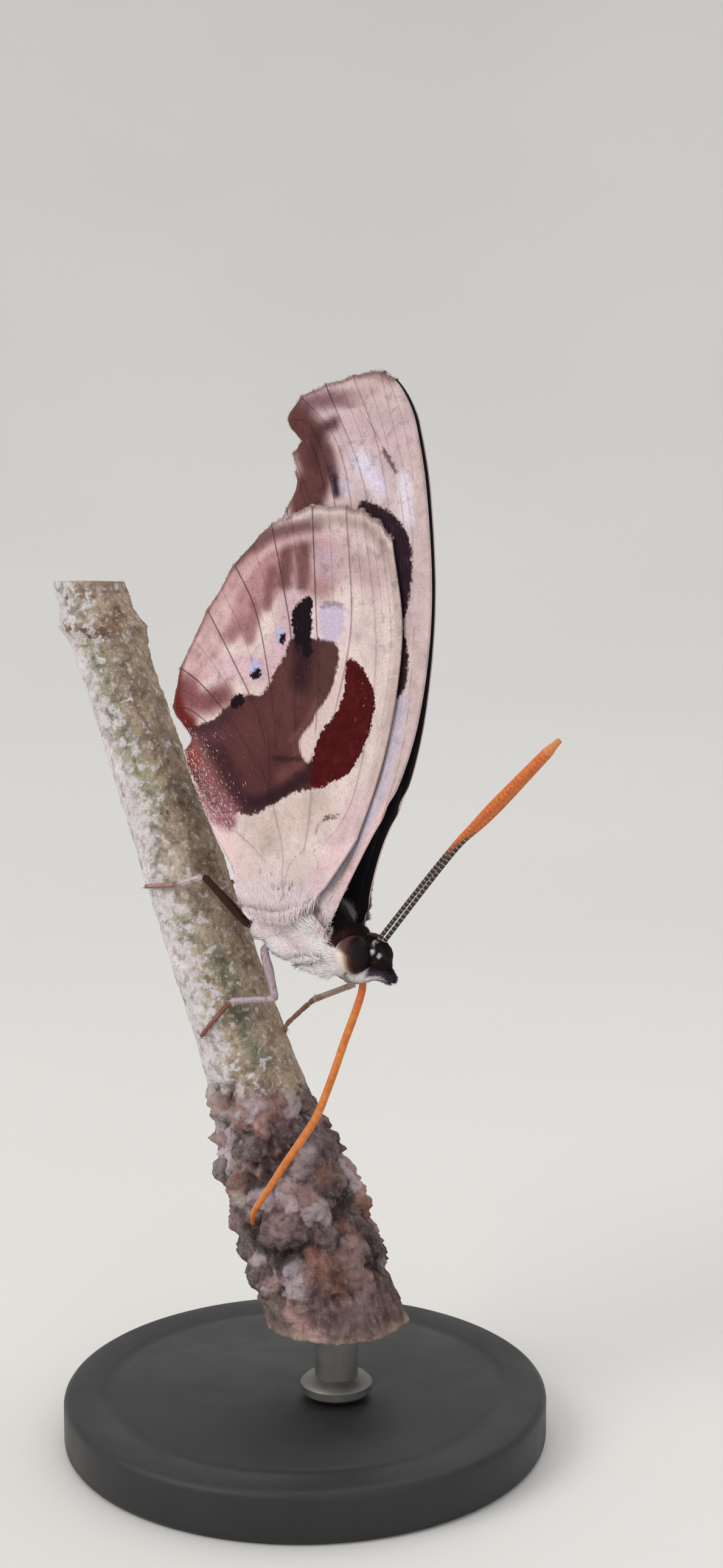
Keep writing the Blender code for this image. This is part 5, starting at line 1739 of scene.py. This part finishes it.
def coat_from(name, skin, count, seed, part, colour_of, lie_of, length, width, lift, material, slot,
              loose=0.22):
    """Tufts over the part of the skin that `part` picks, with the skin's own markings."""
    points, normals, draw = scatter(skin, count, seed, part)
    points = points - normals * 0.03
    lie = lie_of(points) + draw.normal(0.0, loose, (count, 3))
    lengths = length(points) * draw.uniform(0.75, 1.2, count)
    widths = width * draw.uniform(0.75, 1.3, count)
    lifts = lift * draw.uniform(0.5, 1.5, count)
    colours = colour_of(points) * draw.uniform(0.9, 1.1, (count, 1))
    angle = np.arctan2(points[:, 1], points[:, 2] - 0.3) / (2.0 * pi) + 0.5
    patch = np.column_stack([0.004 + 0.992 * angle, np.clip((points[:, 0] + 10.0) / 20.0, 0.0, 1.0)])
    made = tufts(name, points, normals, lie, lengths, widths, lifts, np.clip(colours, 0.0, 1.0), patch)
    finish_piece(made, material, slot)
    return made


def towards(direction):
    vector = np.asarray(direction, float)
    return lambda points: np.tile(vector, (len(points), 1))


class BUTTERFLY_OT_body(Operator):
    """Add the skin of head, thorax and abdomen, and the wool and scales that cover it"""
    bl_idname = "butterfly.body"
    bl_label = "Body"
    bl_options = {"REGISTER", "UNDO"}

    def execute(self, context):
        settings = context.scene.butterfly_coat
        skin = build_skin()
        finish_piece(skin, coat_finish("body_skin", 0.85), "body_wool", ["thorax", "abdomen", "head"])
        wool = coat_finish("wool", 0.85, 0.15)
        scales = coat_finish("abdomen_scales")
        hairs = coat_finish("head_hairs", 0.75, 0.02)
        back = towards((-cos(DIP), 0.0, sin(DIP) * 0.6))
        up_back = towards((-0.6, 0.0, 0.8))
        for word, side in SIDES.items():
            coat_from("wool_" + word, skin, settings.thorax_tufts, 11 if side > 0 else 12,
                      lambda c, s=side: (c[:, 0] < 4.9) * (c[:, 1] * s > -0.02)
                      * ((c[:, 0] > -3.0) | (c[:, 2] < 1.2)) * (0.6 + ease(-c[:, 2], -1.5, 1.5)),
                      body_colour, lambda p, s=side: back(p) + np.column_stack(
                          [np.zeros(len(p)), 0.1 * s * np.ones(len(p)), -0.25 * ease(-p[:, 2], 0, 2)]),
                      lambda p: settings.wool_length * (0.75 + 0.35 * ease(-p[:, 2], -1.0, 2.0)
                                                        - 0.3 * ease(p[:, 0], 3.8, 4.6)),
                      0.041, 0.15, wool, "body_wool")
            # Longer wool that streams from the upper sides over the roots of the wings
            coat_from("wing_base_wool_" + word, skin, settings.thorax_tufts // 3,
                      21 if side > 0 else 22,
                      lambda c, s=side: (c[:, 1] * s > 0.9) * (c[:, 0] > -3.4) * (c[:, 0] < 3.7)
                      * (c[:, 2] > 0.3 - 0.25 * c[:, 0]),
                      body_colour, up_back, lambda p: 1.45, 0.036, 0.16, wool,
                      "body_wool")
        coat_from("abdomen_coat", skin, settings.abdomen_tufts, 13,
                  lambda c: (c[:, 0] < -2.4) * (c[:, 2] > 1.2),
                  body_colour, towards((-0.55, 0.0, 0.83)),
                  lambda p: 0.55, 0.067, 0.14, scales, "abdomen_scales", 0.12)
        coat_from("head_coat", skin, settings.head_tufts, 14,
                  lambda c: (c[:, 0] > 4.6) * (0.7 + 0.8 * (c[:, 0] > 6.6)),
                  head_colour, lambda p: np.column_stack([
                      0.35 - 0.5 * ease(-p[:, 0], -6.2, -4.6), 0.0 * p[:, 1],
                      0.6 - 1.1 * ease(-p[:, 2], 0.6, 1.8)]),
                  lambda p: 0.34 + 0.1 * ease(p[:, 2], -0.4, 0.4) - 0.17 * ease(p[:, 0], 6.2, 6.9),
                  0.022, 0.34, hairs,
                  "head_scales", 0.3)
        return {"FINISHED"}


# Eyes, palps, antennae and proboscis

EYE_CENTRE = (5.5, 0.8, -0.88)
EYE_HALF = (1.42, 1.22, 1.3)


def eye_finish():
    """Fine facets: cream behind and below, a dull pinkish brown crown, and near black in front, partly the eye's own
    colour and partly painted shade for the dark pseudopupil where the facets face the camera.
    """
    f = Finish("compound_eye")
    centre = place((EYE_CENTRE[0], 0.0, EYE_CENTRE[2]))
    size = Vector((1.0 / (EYE_HALF[0] * MM), 1.0, 1.0 / (EYE_HALF[2] * MM)))
    moved = f.mapped(f.where, Scale=tuple(size), Location=(-centre.x * size.x, 0.0, -centre.z * size.z))
    parts = f.put("SeparateXYZ", Vector=moved)
    ahead, above = parts.outputs["X"], parts.outputs["Z"]
    blur = f.times(f.minus(f.cloud(900.0, 3.0), 0.5), 0.2)
    high = f.most(f.minus(above, 0.1), 0.0)
    slope = f.plus(f.plus(ahead, blur), f.times(high, 0.9))
    slope = f.most(f.plus(slope, 0.5), 0.0)
    # Darker towards the front: the eye's own colour, and painted shade for the dark pseudopupil where the facets face
    # the camera
    colour = f.ramp(slope, [(0.3, (238, 224, 216)), (0.5, (222, 204, 190)), (0.66, (160, 138, 120)),
                            (0.82, (84, 56, 48)), (1.0, (40, 22, 22))])
    colour = f.blend(f.rise(slope, 1.1, 1.35), colour, (20, 12, 14))
    crown = f.times(f.rise(above, 0.15, 0.5), f.rise(ahead, 0.3, -0.05))
    crown = f.times(crown, f.rise(ahead, -0.75, -0.45))
    colour = f.blend(f.times(crown, 0.85), colour, (98, 60, 66))
    cells = f.cells(17000.0)
    colour = f.blend(f.times(cells, 0.18), colour, (18, 12, 12))
    return f.surface(
        Base_Color=colour, Roughness=0.45, Specular_IOR_Level=0.12, Normal=f.bump(cells, 0.00002, 0.5))


class BUTTERFLY_OT_eyes(Operator):
    """Add the two compound eyes, each with its facets"""
    bl_idname = "butterfly.eyes"
    bl_label = "Eyes"
    bl_options = {"REGISTER", "UNDO"}

    def execute(self, context):
        facets = eye_finish()
        for word, side in SIDES.items():
            clear_selection()
            bpy.ops.mesh.primitive_ico_sphere_add(subdivisions=6, radius=MM)
            made = made_now("compound_eye_" + word)
            made.scale = EYE_HALF
            made.location = place((EYE_CENTRE[0], EYE_CENTRE[1] * side, EYE_CENTRE[2]))
            bpy.ops.object.transform_apply()
            with editing(made):
                bpy.ops.mesh.bisect(plane_co=place((0.0, side * 0.3, 0.0)), plane_no=(0.0, -side, 0.0),
                                    use_fill=True, clear_outer=True)
            finish_piece(made, facets, "eye", ["eye_" + word])
        return {"FINISHED"}


PALP = [
    (4.55, 0.6, -2.4, 0.25), (5.1, 0.72, -2.45, 0.44), (6.1, 0.84, -2.3, 0.5), (6.95, 0.7, -2, 0.52),
    (7.5, 0.48, -2.04, 0.44), (7.95, 0.3, -2.32, 0.26), (8.1, 0.24, -2.52, 0.1),
]


def palp_colour(points):
    """White along the lower edge, dark purple-grey above and at the tip."""
    line = smooth_path([entry[:3] for entry in PALP], 60)
    middle = np.interp(points[:, 0], line[:, 0], line[:, 2])
    above = ease(points[:, 2] - middle, -0.26, -0.08) * ease(points[:, 0], 6.2, 6.8)
    share = np.clip(above, 0.0, 1.0)[:, None]
    violet = ease(points[:, 2] - middle, 0.0, 0.3)[:, None]
    dark = linear((40, 30, 38)) * violet + linear((74, 62, 76)) * (1.0 - violet)
    return linear((246, 236, 232)) * (1.0 - share) + dark * share


class BUTTERFLY_OT_palps(Operator):
    """Add the two palps, white beneath and dark above, shaggy with long scales"""
    bl_idname = "butterfly.palps"
    bl_label = "Palps"
    bl_options = {"REGISTER", "UNDO"}

    def execute(self, context):
        shag = coat_finish("palp_scales", 0.75)
        for word, side in SIDES.items():
            line = smooth_path([(x, reach * side, height, size) for x, reach, height, size in PALP], 40)
            core = tube("palp_core_" + word, line[:, :3], line[:, 3] * 0.72, 20, 0.62)
            points = own_frame(positions_of(core))
            # The core is painted darker than its scales: painted shade beneath the coat
            colour_layer(core, "coat_colour", palp_colour(points) * 0.8)
            coat_from("palp_coat_" + word, core, 5200, 51 if side > 0 else 52, None, palp_colour,
                      towards((1.0, 0.0, 0.35)), lambda p: 0.4, 0.03, 0.38, shag,
                      "palp", 0.16)
            finish_piece(core, shag, "palp", ["palp_" + word])
        return {"FINISHED"}


ANTENNAE = {
    "right": [(7.15, -0.42, 0), (7.45, -0.42, 0.45), (13.6, -0.8, 6.75), (16.4, -0.9, 9.2),
              (22.6, -1, 14.5)],
    "left": [(7.15, 0.42, 0), (7.45, 0.42, 0.45), (12.2, 1.5, 6.45), (14.6, 2.1, 8.9),
             (19.5, 3, 14.05)],
}


def antenna_finish():
    """Dark shaft with a white ring at each joint, and an orange club."""
    f = Finish("antenna")
    along = f.layer("along")
    joint = f.maths("PINGPONG", along, 0.19)
    ring = f.rise(joint, 0.06, 0.02)
    fine = f.cloud(6000.0, 2.0, 0.6)
    shaft = f.blend(ring, (46, 32, 28), (150, 138, 130))
    club_colour = f.ramp(fine, [(0.3, (176, 84, 30)), (0.7, (222, 122, 52))])
    club_colour = f.blend(f.times(ring, 0.25), club_colour, (120, 54, 22))
    club = f.rise(along, 9.4, 11.6)
    tip = f.rise(along, 20.4, 20.9)
    colour = f.blend(club, shaft, club_colour)
    colour = f.blend(f.times(tip, 0.5), colour, (214, 150, 96))
    return f.surface(Base_Color=colour, Roughness=0.55, Normal=f.bump(fine, 0.00003, 0.35))


class BUTTERFLY_OT_antennae(Operator):
    """Add the two ringed antennae with their orange clubs"""
    bl_idname = "butterfly.antennae"
    bl_label = "Antennae"
    bl_options = {"REGISTER", "UNDO"}

    def execute(self, context):
        ringed = antenna_finish()
        for word, points in ANTENNAE.items():
            path = smooth_path(points, 420)
            along = lengths_along(path)
            share = along / along[-1]
            joint = np.abs((along / 0.38) % 1.0 - 0.5) * 2.0
            radius = 0.15 + 0.19 * ease(share, 0.46, 0.72) - 0.14 * ease(share, 0.94, 1.0)
            radius = radius * (1.0 - 0.11 * ease(joint, 0.75, 1.0))
            radius = radius + 0.16 * (1.0 - ease(along, 0.25, 0.55))
            made = tube("antenna_ringed_" + word, path, radius, 18)
            finish_piece(made, ringed, "antenna", ["antenna_" + word])
        return {"FINISHED"}


PROBOSCIS = [
    (5.6, 0, -2), (5.55, 0, -2.75), (5.4, 0, -3.6), (5, -0.2, -5), (4.6, -0.8, -6.9),
    (4.35, -1.4, -8.6), (4.1, -2, -10.2), (3.7, -2.6, -11.9), (3, -3.4, -13.6),
    (2, -4.1, -15.4), (1.1, -4.8, -17.2), (0.3, -5.3, -18.7),
]
PROBOSCIS_TIP = (-19.9, -84.0)


def proboscis_finish():
    f = Finish("proboscis")
    along = f.layer("along")
    fine = f.cloud(2600.0, 3.0, 0.55)
    colour = f.ramp(fine, [(0.3, (192, 98, 30)), (0.7, (222, 134, 56))])
    top = f.rise(along, 4.0, 0.6)
    colour = f.blend(f.times(top, 0.6), colour, (196, 66, 24))
    # Painted highlight: a pale pinkish edge along one side of the proboscis
    edge = f.rise(f.layer("pale_edge"), 0.35, 0.8)
    colour = f.blend(f.times(edge, 0.6), colour, (206, 178, 170))
    rings = f.maths("PINGPONG", along, 0.05)
    band = f.rise(rings, 0.012, 0.0)
    colour = f.blend(f.times(band, 0.3), colour, (120, 56, 20))
    return f.surface(Base_Color=colour, Roughness=0.38, Subsurface_Weight=0.12,
                     Subsurface_Radius=(0.0006, 0.0003, 0.0001), Normal=f.bump(rings, 0.00004, 0.5))


class BUTTERFLY_OT_proboscis(Operator):
    """Add the uncoiled proboscis: two ringed halves side by side with a groove between"""
    bl_idname = "butterfly.proboscis"
    bl_label = "Proboscis"
    bl_options = {"REGISTER", "UNDO"}

    def execute(self, context):
        tip = on_bark(PROBOSCIS_TIP[0], PROBOSCIS_TIP[1], 0.1)
        path = smooth_path(PROBOSCIS + [tuple(tip)], 240)
        forward = unit(np.gradient(path, axis=0))
        aside = unit(np.cross(forward, (0.72, 0.69, 0.0)))
        along = np.linspace(0.0, 1.0, len(path))
        thick = np.interp(along, [0.0, 0.06, 0.2, 0.6, 0.9, 1.0], [0.2, 0.25, 0.27, 0.26, 0.2, 0.13])
        halves = []
        for half in (-1.0, 1.0):
            made = tube("proboscis_half", path + aside * (half * thick * 0.52)[:, None], thick, 20)
            # Painted highlight along one side of the proboscis: full on one half, faint on the other
            facing = 0.5 + 0.5 * half * np.cos(layer_values(made, "around"))
            point_layer(made, "pale_edge", facing * (1.0 if half < 0 else 0.35))
            halves.append(made)
        whole = join("proboscis_galeae", halves)
        finish_piece(whole, proboscis_finish(), "proboscis", ["proboscis"])
        return {"FINISHED"}


# Legs

LEGS = {
    "hind_right": [(-4.05, -1.68, 0.3), (-6.4, -3.5, 3.5), (1.6, -54), (1.95, -76),
                   (2.45, -104)],
    "hind_left": [(-4.05, 1.68, 0.3), (-6.2, 3.6, 3.2), (1.2, 56), (1.5, 78), (1.7, 102)],
    "mid_right": [(-2.2, -1.72, -1.5), (0.15, -3, -4.3), (-6.6, -41), (-7.3, -64),
                  (-7.9, -88)],
    "mid_left": [(-2.2, 1.72, -1.5), (1.5, 3.4, -4.1), (-7.8, 50, 2.5), (-8.8, 32), (-9.3, 16)],
}
FORELEG = [
    (3.3, 0.9, -2.35), (2.1, 1.35, -2.2), (0.95, 1.6, -1.9), (2, 1.75, -1.6), (3.2, 1.75, -1.3),
]
LIMB_STEPS = 50
FOOT_STEPS = 60
# Colours of femur, tibia and tarsus
LEG_COLOURS = {
    "hind": ((64, 38, 32), (206, 188, 196), (176, 140, 132)),
    "mid": ((182, 163, 170), (188, 171, 181), (150, 100, 90)),
    "far": ((186, 160, 148), (190, 164, 152), (146, 106, 92)),
    "fore": ((246, 234, 236), (250, 240, 242), (240, 226, 226)),
}


def spines(base_points, directions, normals, lengths, width, colour, name, material):
    count = len(base_points)
    colours = np.tile(linear(colour), (count, 1))
    patch = np.column_stack([np.linspace(0.01, 0.99, count), np.full(count, 0.5)])
    made = tufts(name, base_points, normals, directions, np.full(count, lengths), np.full(count, width),
                 0.75, colours, patch)
    return finish_piece(made, material)


def leg_path(joints):
    """Points from the hip to the claws: the hip, the leg's root, the knee and the footholds on the bark."""
    root, knee = np.array(joints[0]), np.array(joints[1])
    feet = [on_bark(*joint) for joint in joints[2:]]
    hip = root + (root - knee) * 0.1 + np.array([0.35, -np.sign(root[1]) * 0.35, 0.1])
    return hip, root, knee, feet


def mottled(shade, points):
    """Colours broken up by darker patches wherever they are pale."""
    patchy = ease(rough_at(points, 1.3, 61.0), 0.12, 0.5)[:, None]
    patchy = patchy * np.where(shade[:, :1] < 0.1, 0.0, 0.5)
    return shade * (1.0 - patchy) + linear((96, 66, 60)) * patchy


def build_leg(name, joints, colours, coat, claw):
    hip, root, knee, feet = leg_path(joints)
    ankle = knee + (feet[0] - knee) * 0.97
    femur = smooth_path([hip, root, root + (knee - root) * 0.5, knee], LIMB_STEPS)
    tibia = smooth_path([knee, knee + (ankle - knee) * 0.5, ankle], LIMB_STEPS)
    foot = smooth_path([ankle] + feet, FOOT_STEPS)
    share = np.linspace(0.0, 1.0, LIMB_STEPS)
    femur_radius = np.interp(
        share, [0.0, 0.15, 0.45, 0.85, 0.95, 1.0], [0.2, 0.27, 0.33, 0.24, 0.25, 0.18])
    tibia_radius = np.interp(share, [0.0, 0.05, 0.3, 0.9, 0.97, 1.0], [0.16, 0.22, 0.2, 0.22, 0.24, 0.16])
    along = np.linspace(0.0, 1.0, FOOT_STEPS)
    joint = np.abs((np.linspace(0.0, 5.0, FOOT_STEPS) % 1.0) - 0.5) * 2.0
    foot_radius = (0.19 - 0.05 * along) * (1.0 - 0.3 * ease(joint, 0.7, 1.0))
    pieces = []
    groups = ((femur, femur_radius, colours[0], "femur"), (tibia, tibia_radius, colours[1], "tibia"),
              (foot, foot_radius, colours[2], "tarsus"))
    for path, radius, colour, part in groups:
        made = tube(part, path, radius, 16, 0.85)
        points = own_frame(positions_of(made))
        shade = np.tile(linear(colour), (len(points), 1))
        colour_layer(made, "coat_colour", mottled(shade, points))
        pieces.append(made)
    whole = join("leg_limb_" + name, pieces)
    finish_piece(whole, coat, "leg_brown" if name.startswith("hind") else "leg_pale",
                 ["leg_" + name])
    roots, normals, draw = scatter(whole, 2600, 70 + len(name))
    middle_line = np.vstack([femur, tibia, foot])
    forward = np.vstack([unit(np.gradient(path, axis=0)) for path in (femur, tibia, foot)])
    nearest = np.array([np.argmin(((middle_line - point) ** 2).sum(1)) for point in roots])
    shade = linear(colours)[np.minimum(nearest // LIMB_STEPS, 2)]
    shade = mottled(shade, roots) * draw.uniform(0.85, 1.12, (len(roots), 1))
    turn = (nearest % LIMB_STEPS) / LIMB_STEPS
    patch = np.column_stack([0.01 + 0.98 * nearest / len(middle_line), 0.1 + 0.8 * turn])
    made = tufts(
        "leg_scales_" + name, roots, normals, forward[nearest], draw.uniform(0.14, 0.26, len(roots)),
        draw.uniform(0.018, 0.03, len(roots)), 0.16, np.clip(shade, 0, 1), patch)
    finish_piece(made, coat, "leg_pale")
    # Paired spines under the tibia and tarsus, and two hooked claws at the end
    picks = np.concatenate(
        [LIMB_STEPS + np.arange(6, LIMB_STEPS, 5), 2 * LIMB_STEPS + np.arange(4, FOOT_STEPS, 5)])
    across = unit(np.cross(forward[picks], (0.0, 0.0, 1.0)))
    down = unit(np.cross(forward[picks], across))
    bases = np.vstack([middle_line[picks] + across * 0.1, middle_line[picks] - across * 0.1])
    stand_off = np.vstack([unit(across + down * 0.6), unit(-across + down * 0.6)])
    spines(bases, np.vstack([forward[picks]] * 2), stand_off, 0.42, 0.028, (120, 84, 70),
           "leg_spines_" + name, coat)
    end, heading = foot[-1], unit(foot[-1] - foot[-4])
    aside = unit(np.cross(heading, feet[-1] - branch_axis(feet[-1][2])))
    inward = unit(branch_axis(feet[-1][2]) - feet[-1])
    hooks = []
    for hook in (-1.0, 1.0):
        curl = smooth_path([end - heading * 0.05, end + heading * 0.16 + aside * 0.1 * hook,
                            end + heading * 0.26 + aside * 0.13 * hook + inward * 0.12,
                            end + heading * 0.24 + aside * 0.13 * hook + inward * 0.24], 14)
        hooks.append(tube("hook", curl, np.linspace(0.055, 0.012, 14), 8))
    claws = join("claws_" + name, hooks)
    finish_piece(claws, claw, "leg_brown")


def claw_finish():
    f = Finish("claw_horn")
    fine = f.cloud(5000.0, 3.0)
    return f.surface(Base_Color=f.ramp(fine, [(0.3, (70, 40, 26)), (0.7, (112, 68, 42))]), Roughness=0.35)


class BUTTERFLY_OT_legs(Operator):
    """Add four walking legs that grip the branch and the two small folded forelegs"""
    bl_idname = "butterfly.legs"
    bl_label = "Legs"
    bl_options = {"REGISTER", "UNDO"}

    def execute(self, context):
        coat = coat_finish("leg_scales", 0.7)
        claw = claw_finish()
        for name, joints in LEGS.items():
            kind = "far" if name == "mid_left" else name.split("_")[0]
            build_leg(name, joints, LEG_COLOURS[kind], coat, claw)
        for word, side in SIDES.items():
            line = smooth_path([(x, reach * side, height) for x, reach, height in FORELEG], 60)
            radius = np.interp(np.linspace(0.0, 1.0, 60), [0.0, 0.2, 0.45, 0.5, 0.8, 1.0],
                               [0.2, 0.27, 0.2, 0.2, 0.2, 0.08])
            made = tube("foreleg_" + word, line, radius, 16, 0.8)
            points = own_frame(positions_of(made))
            # The core is painted darker than its brush: painted shade beneath the coat
            colour_layer(
                made, "coat_colour", np.tile(linear(LEG_COLOURS["fore"][0]) * 0.85, (len(points), 1)))
            coat_from("foreleg_brush_" + word, made, 1800, 80 + int(side), None,
                      lambda p: np.tile(linear(LEG_COLOURS["fore"][1]), (len(p), 1)),
                      towards((-0.9, 0.0, 0.2)), lambda p: 0.6, 0.026, 0.2,
                      coat, "leg_pale", 0.35)
            finish_piece(made, coat, "leg_pale", ["leg_fore_" + word])
        return {"FINISHED"}


# Panel and order of work

ORDER = ("stage", "stand", "branch", "body", "eyes", "palps", "antennae", "proboscis", "legs",
         "wings")


class BUTTERFLY_PT_pieces(Panel):
    """Buttons for each piece, in the order in which they are made"""
    bl_idname = "BUTTERFLY_PT_pieces"
    bl_label = "Butterfly"
    bl_space_type = "VIEW_3D"
    bl_region_type = "UI"
    bl_category = "Butterfly"

    def draw(self, context):
        for group in SETTINGS:
            box = self.layout.box()
            held = getattr(context.scene, group)
            for key in held.__annotations__:
                box.prop(held, key)
        for piece in ORDER:
            self.layout.operator("butterfly." + piece)


SETTINGS = {
    "butterfly_wings": WingSettings,
    "butterfly_coat": CoatSettings,
    "butterfly_branch": BranchSettings,
    "butterfly_stage": StageSettings,
}
OPERATORS = [entry for key, entry in sorted(globals().items()) if key.startswith("BUTTERFLY_OT_")]
CLASSES = [*SETTINGS.values(), *OPERATORS, BUTTERFLY_PT_pieces]


def register():
    for entry in CLASSES:
        bpy.utils.register_class(entry)
    for key, group in SETTINGS.items():
        setattr(bpy.types.Scene, key, PointerProperty(type=group))


def unregister():
    for key in SETTINGS:
        delattr(bpy.types.Scene, key)
    for entry in reversed(CLASSES):
        bpy.utils.unregister_class(entry)


def main():
    register()
    for piece in ORDER:
        getattr(bpy.ops.butterfly, piece)()
    with open("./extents.json", "w") as out:
        json.dump({"solids": [list(corner) for corner in SOLID_BOX],
                   "scene": [list(corner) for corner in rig.bounds()]}, out)


if __name__ == "__main__":
    main()
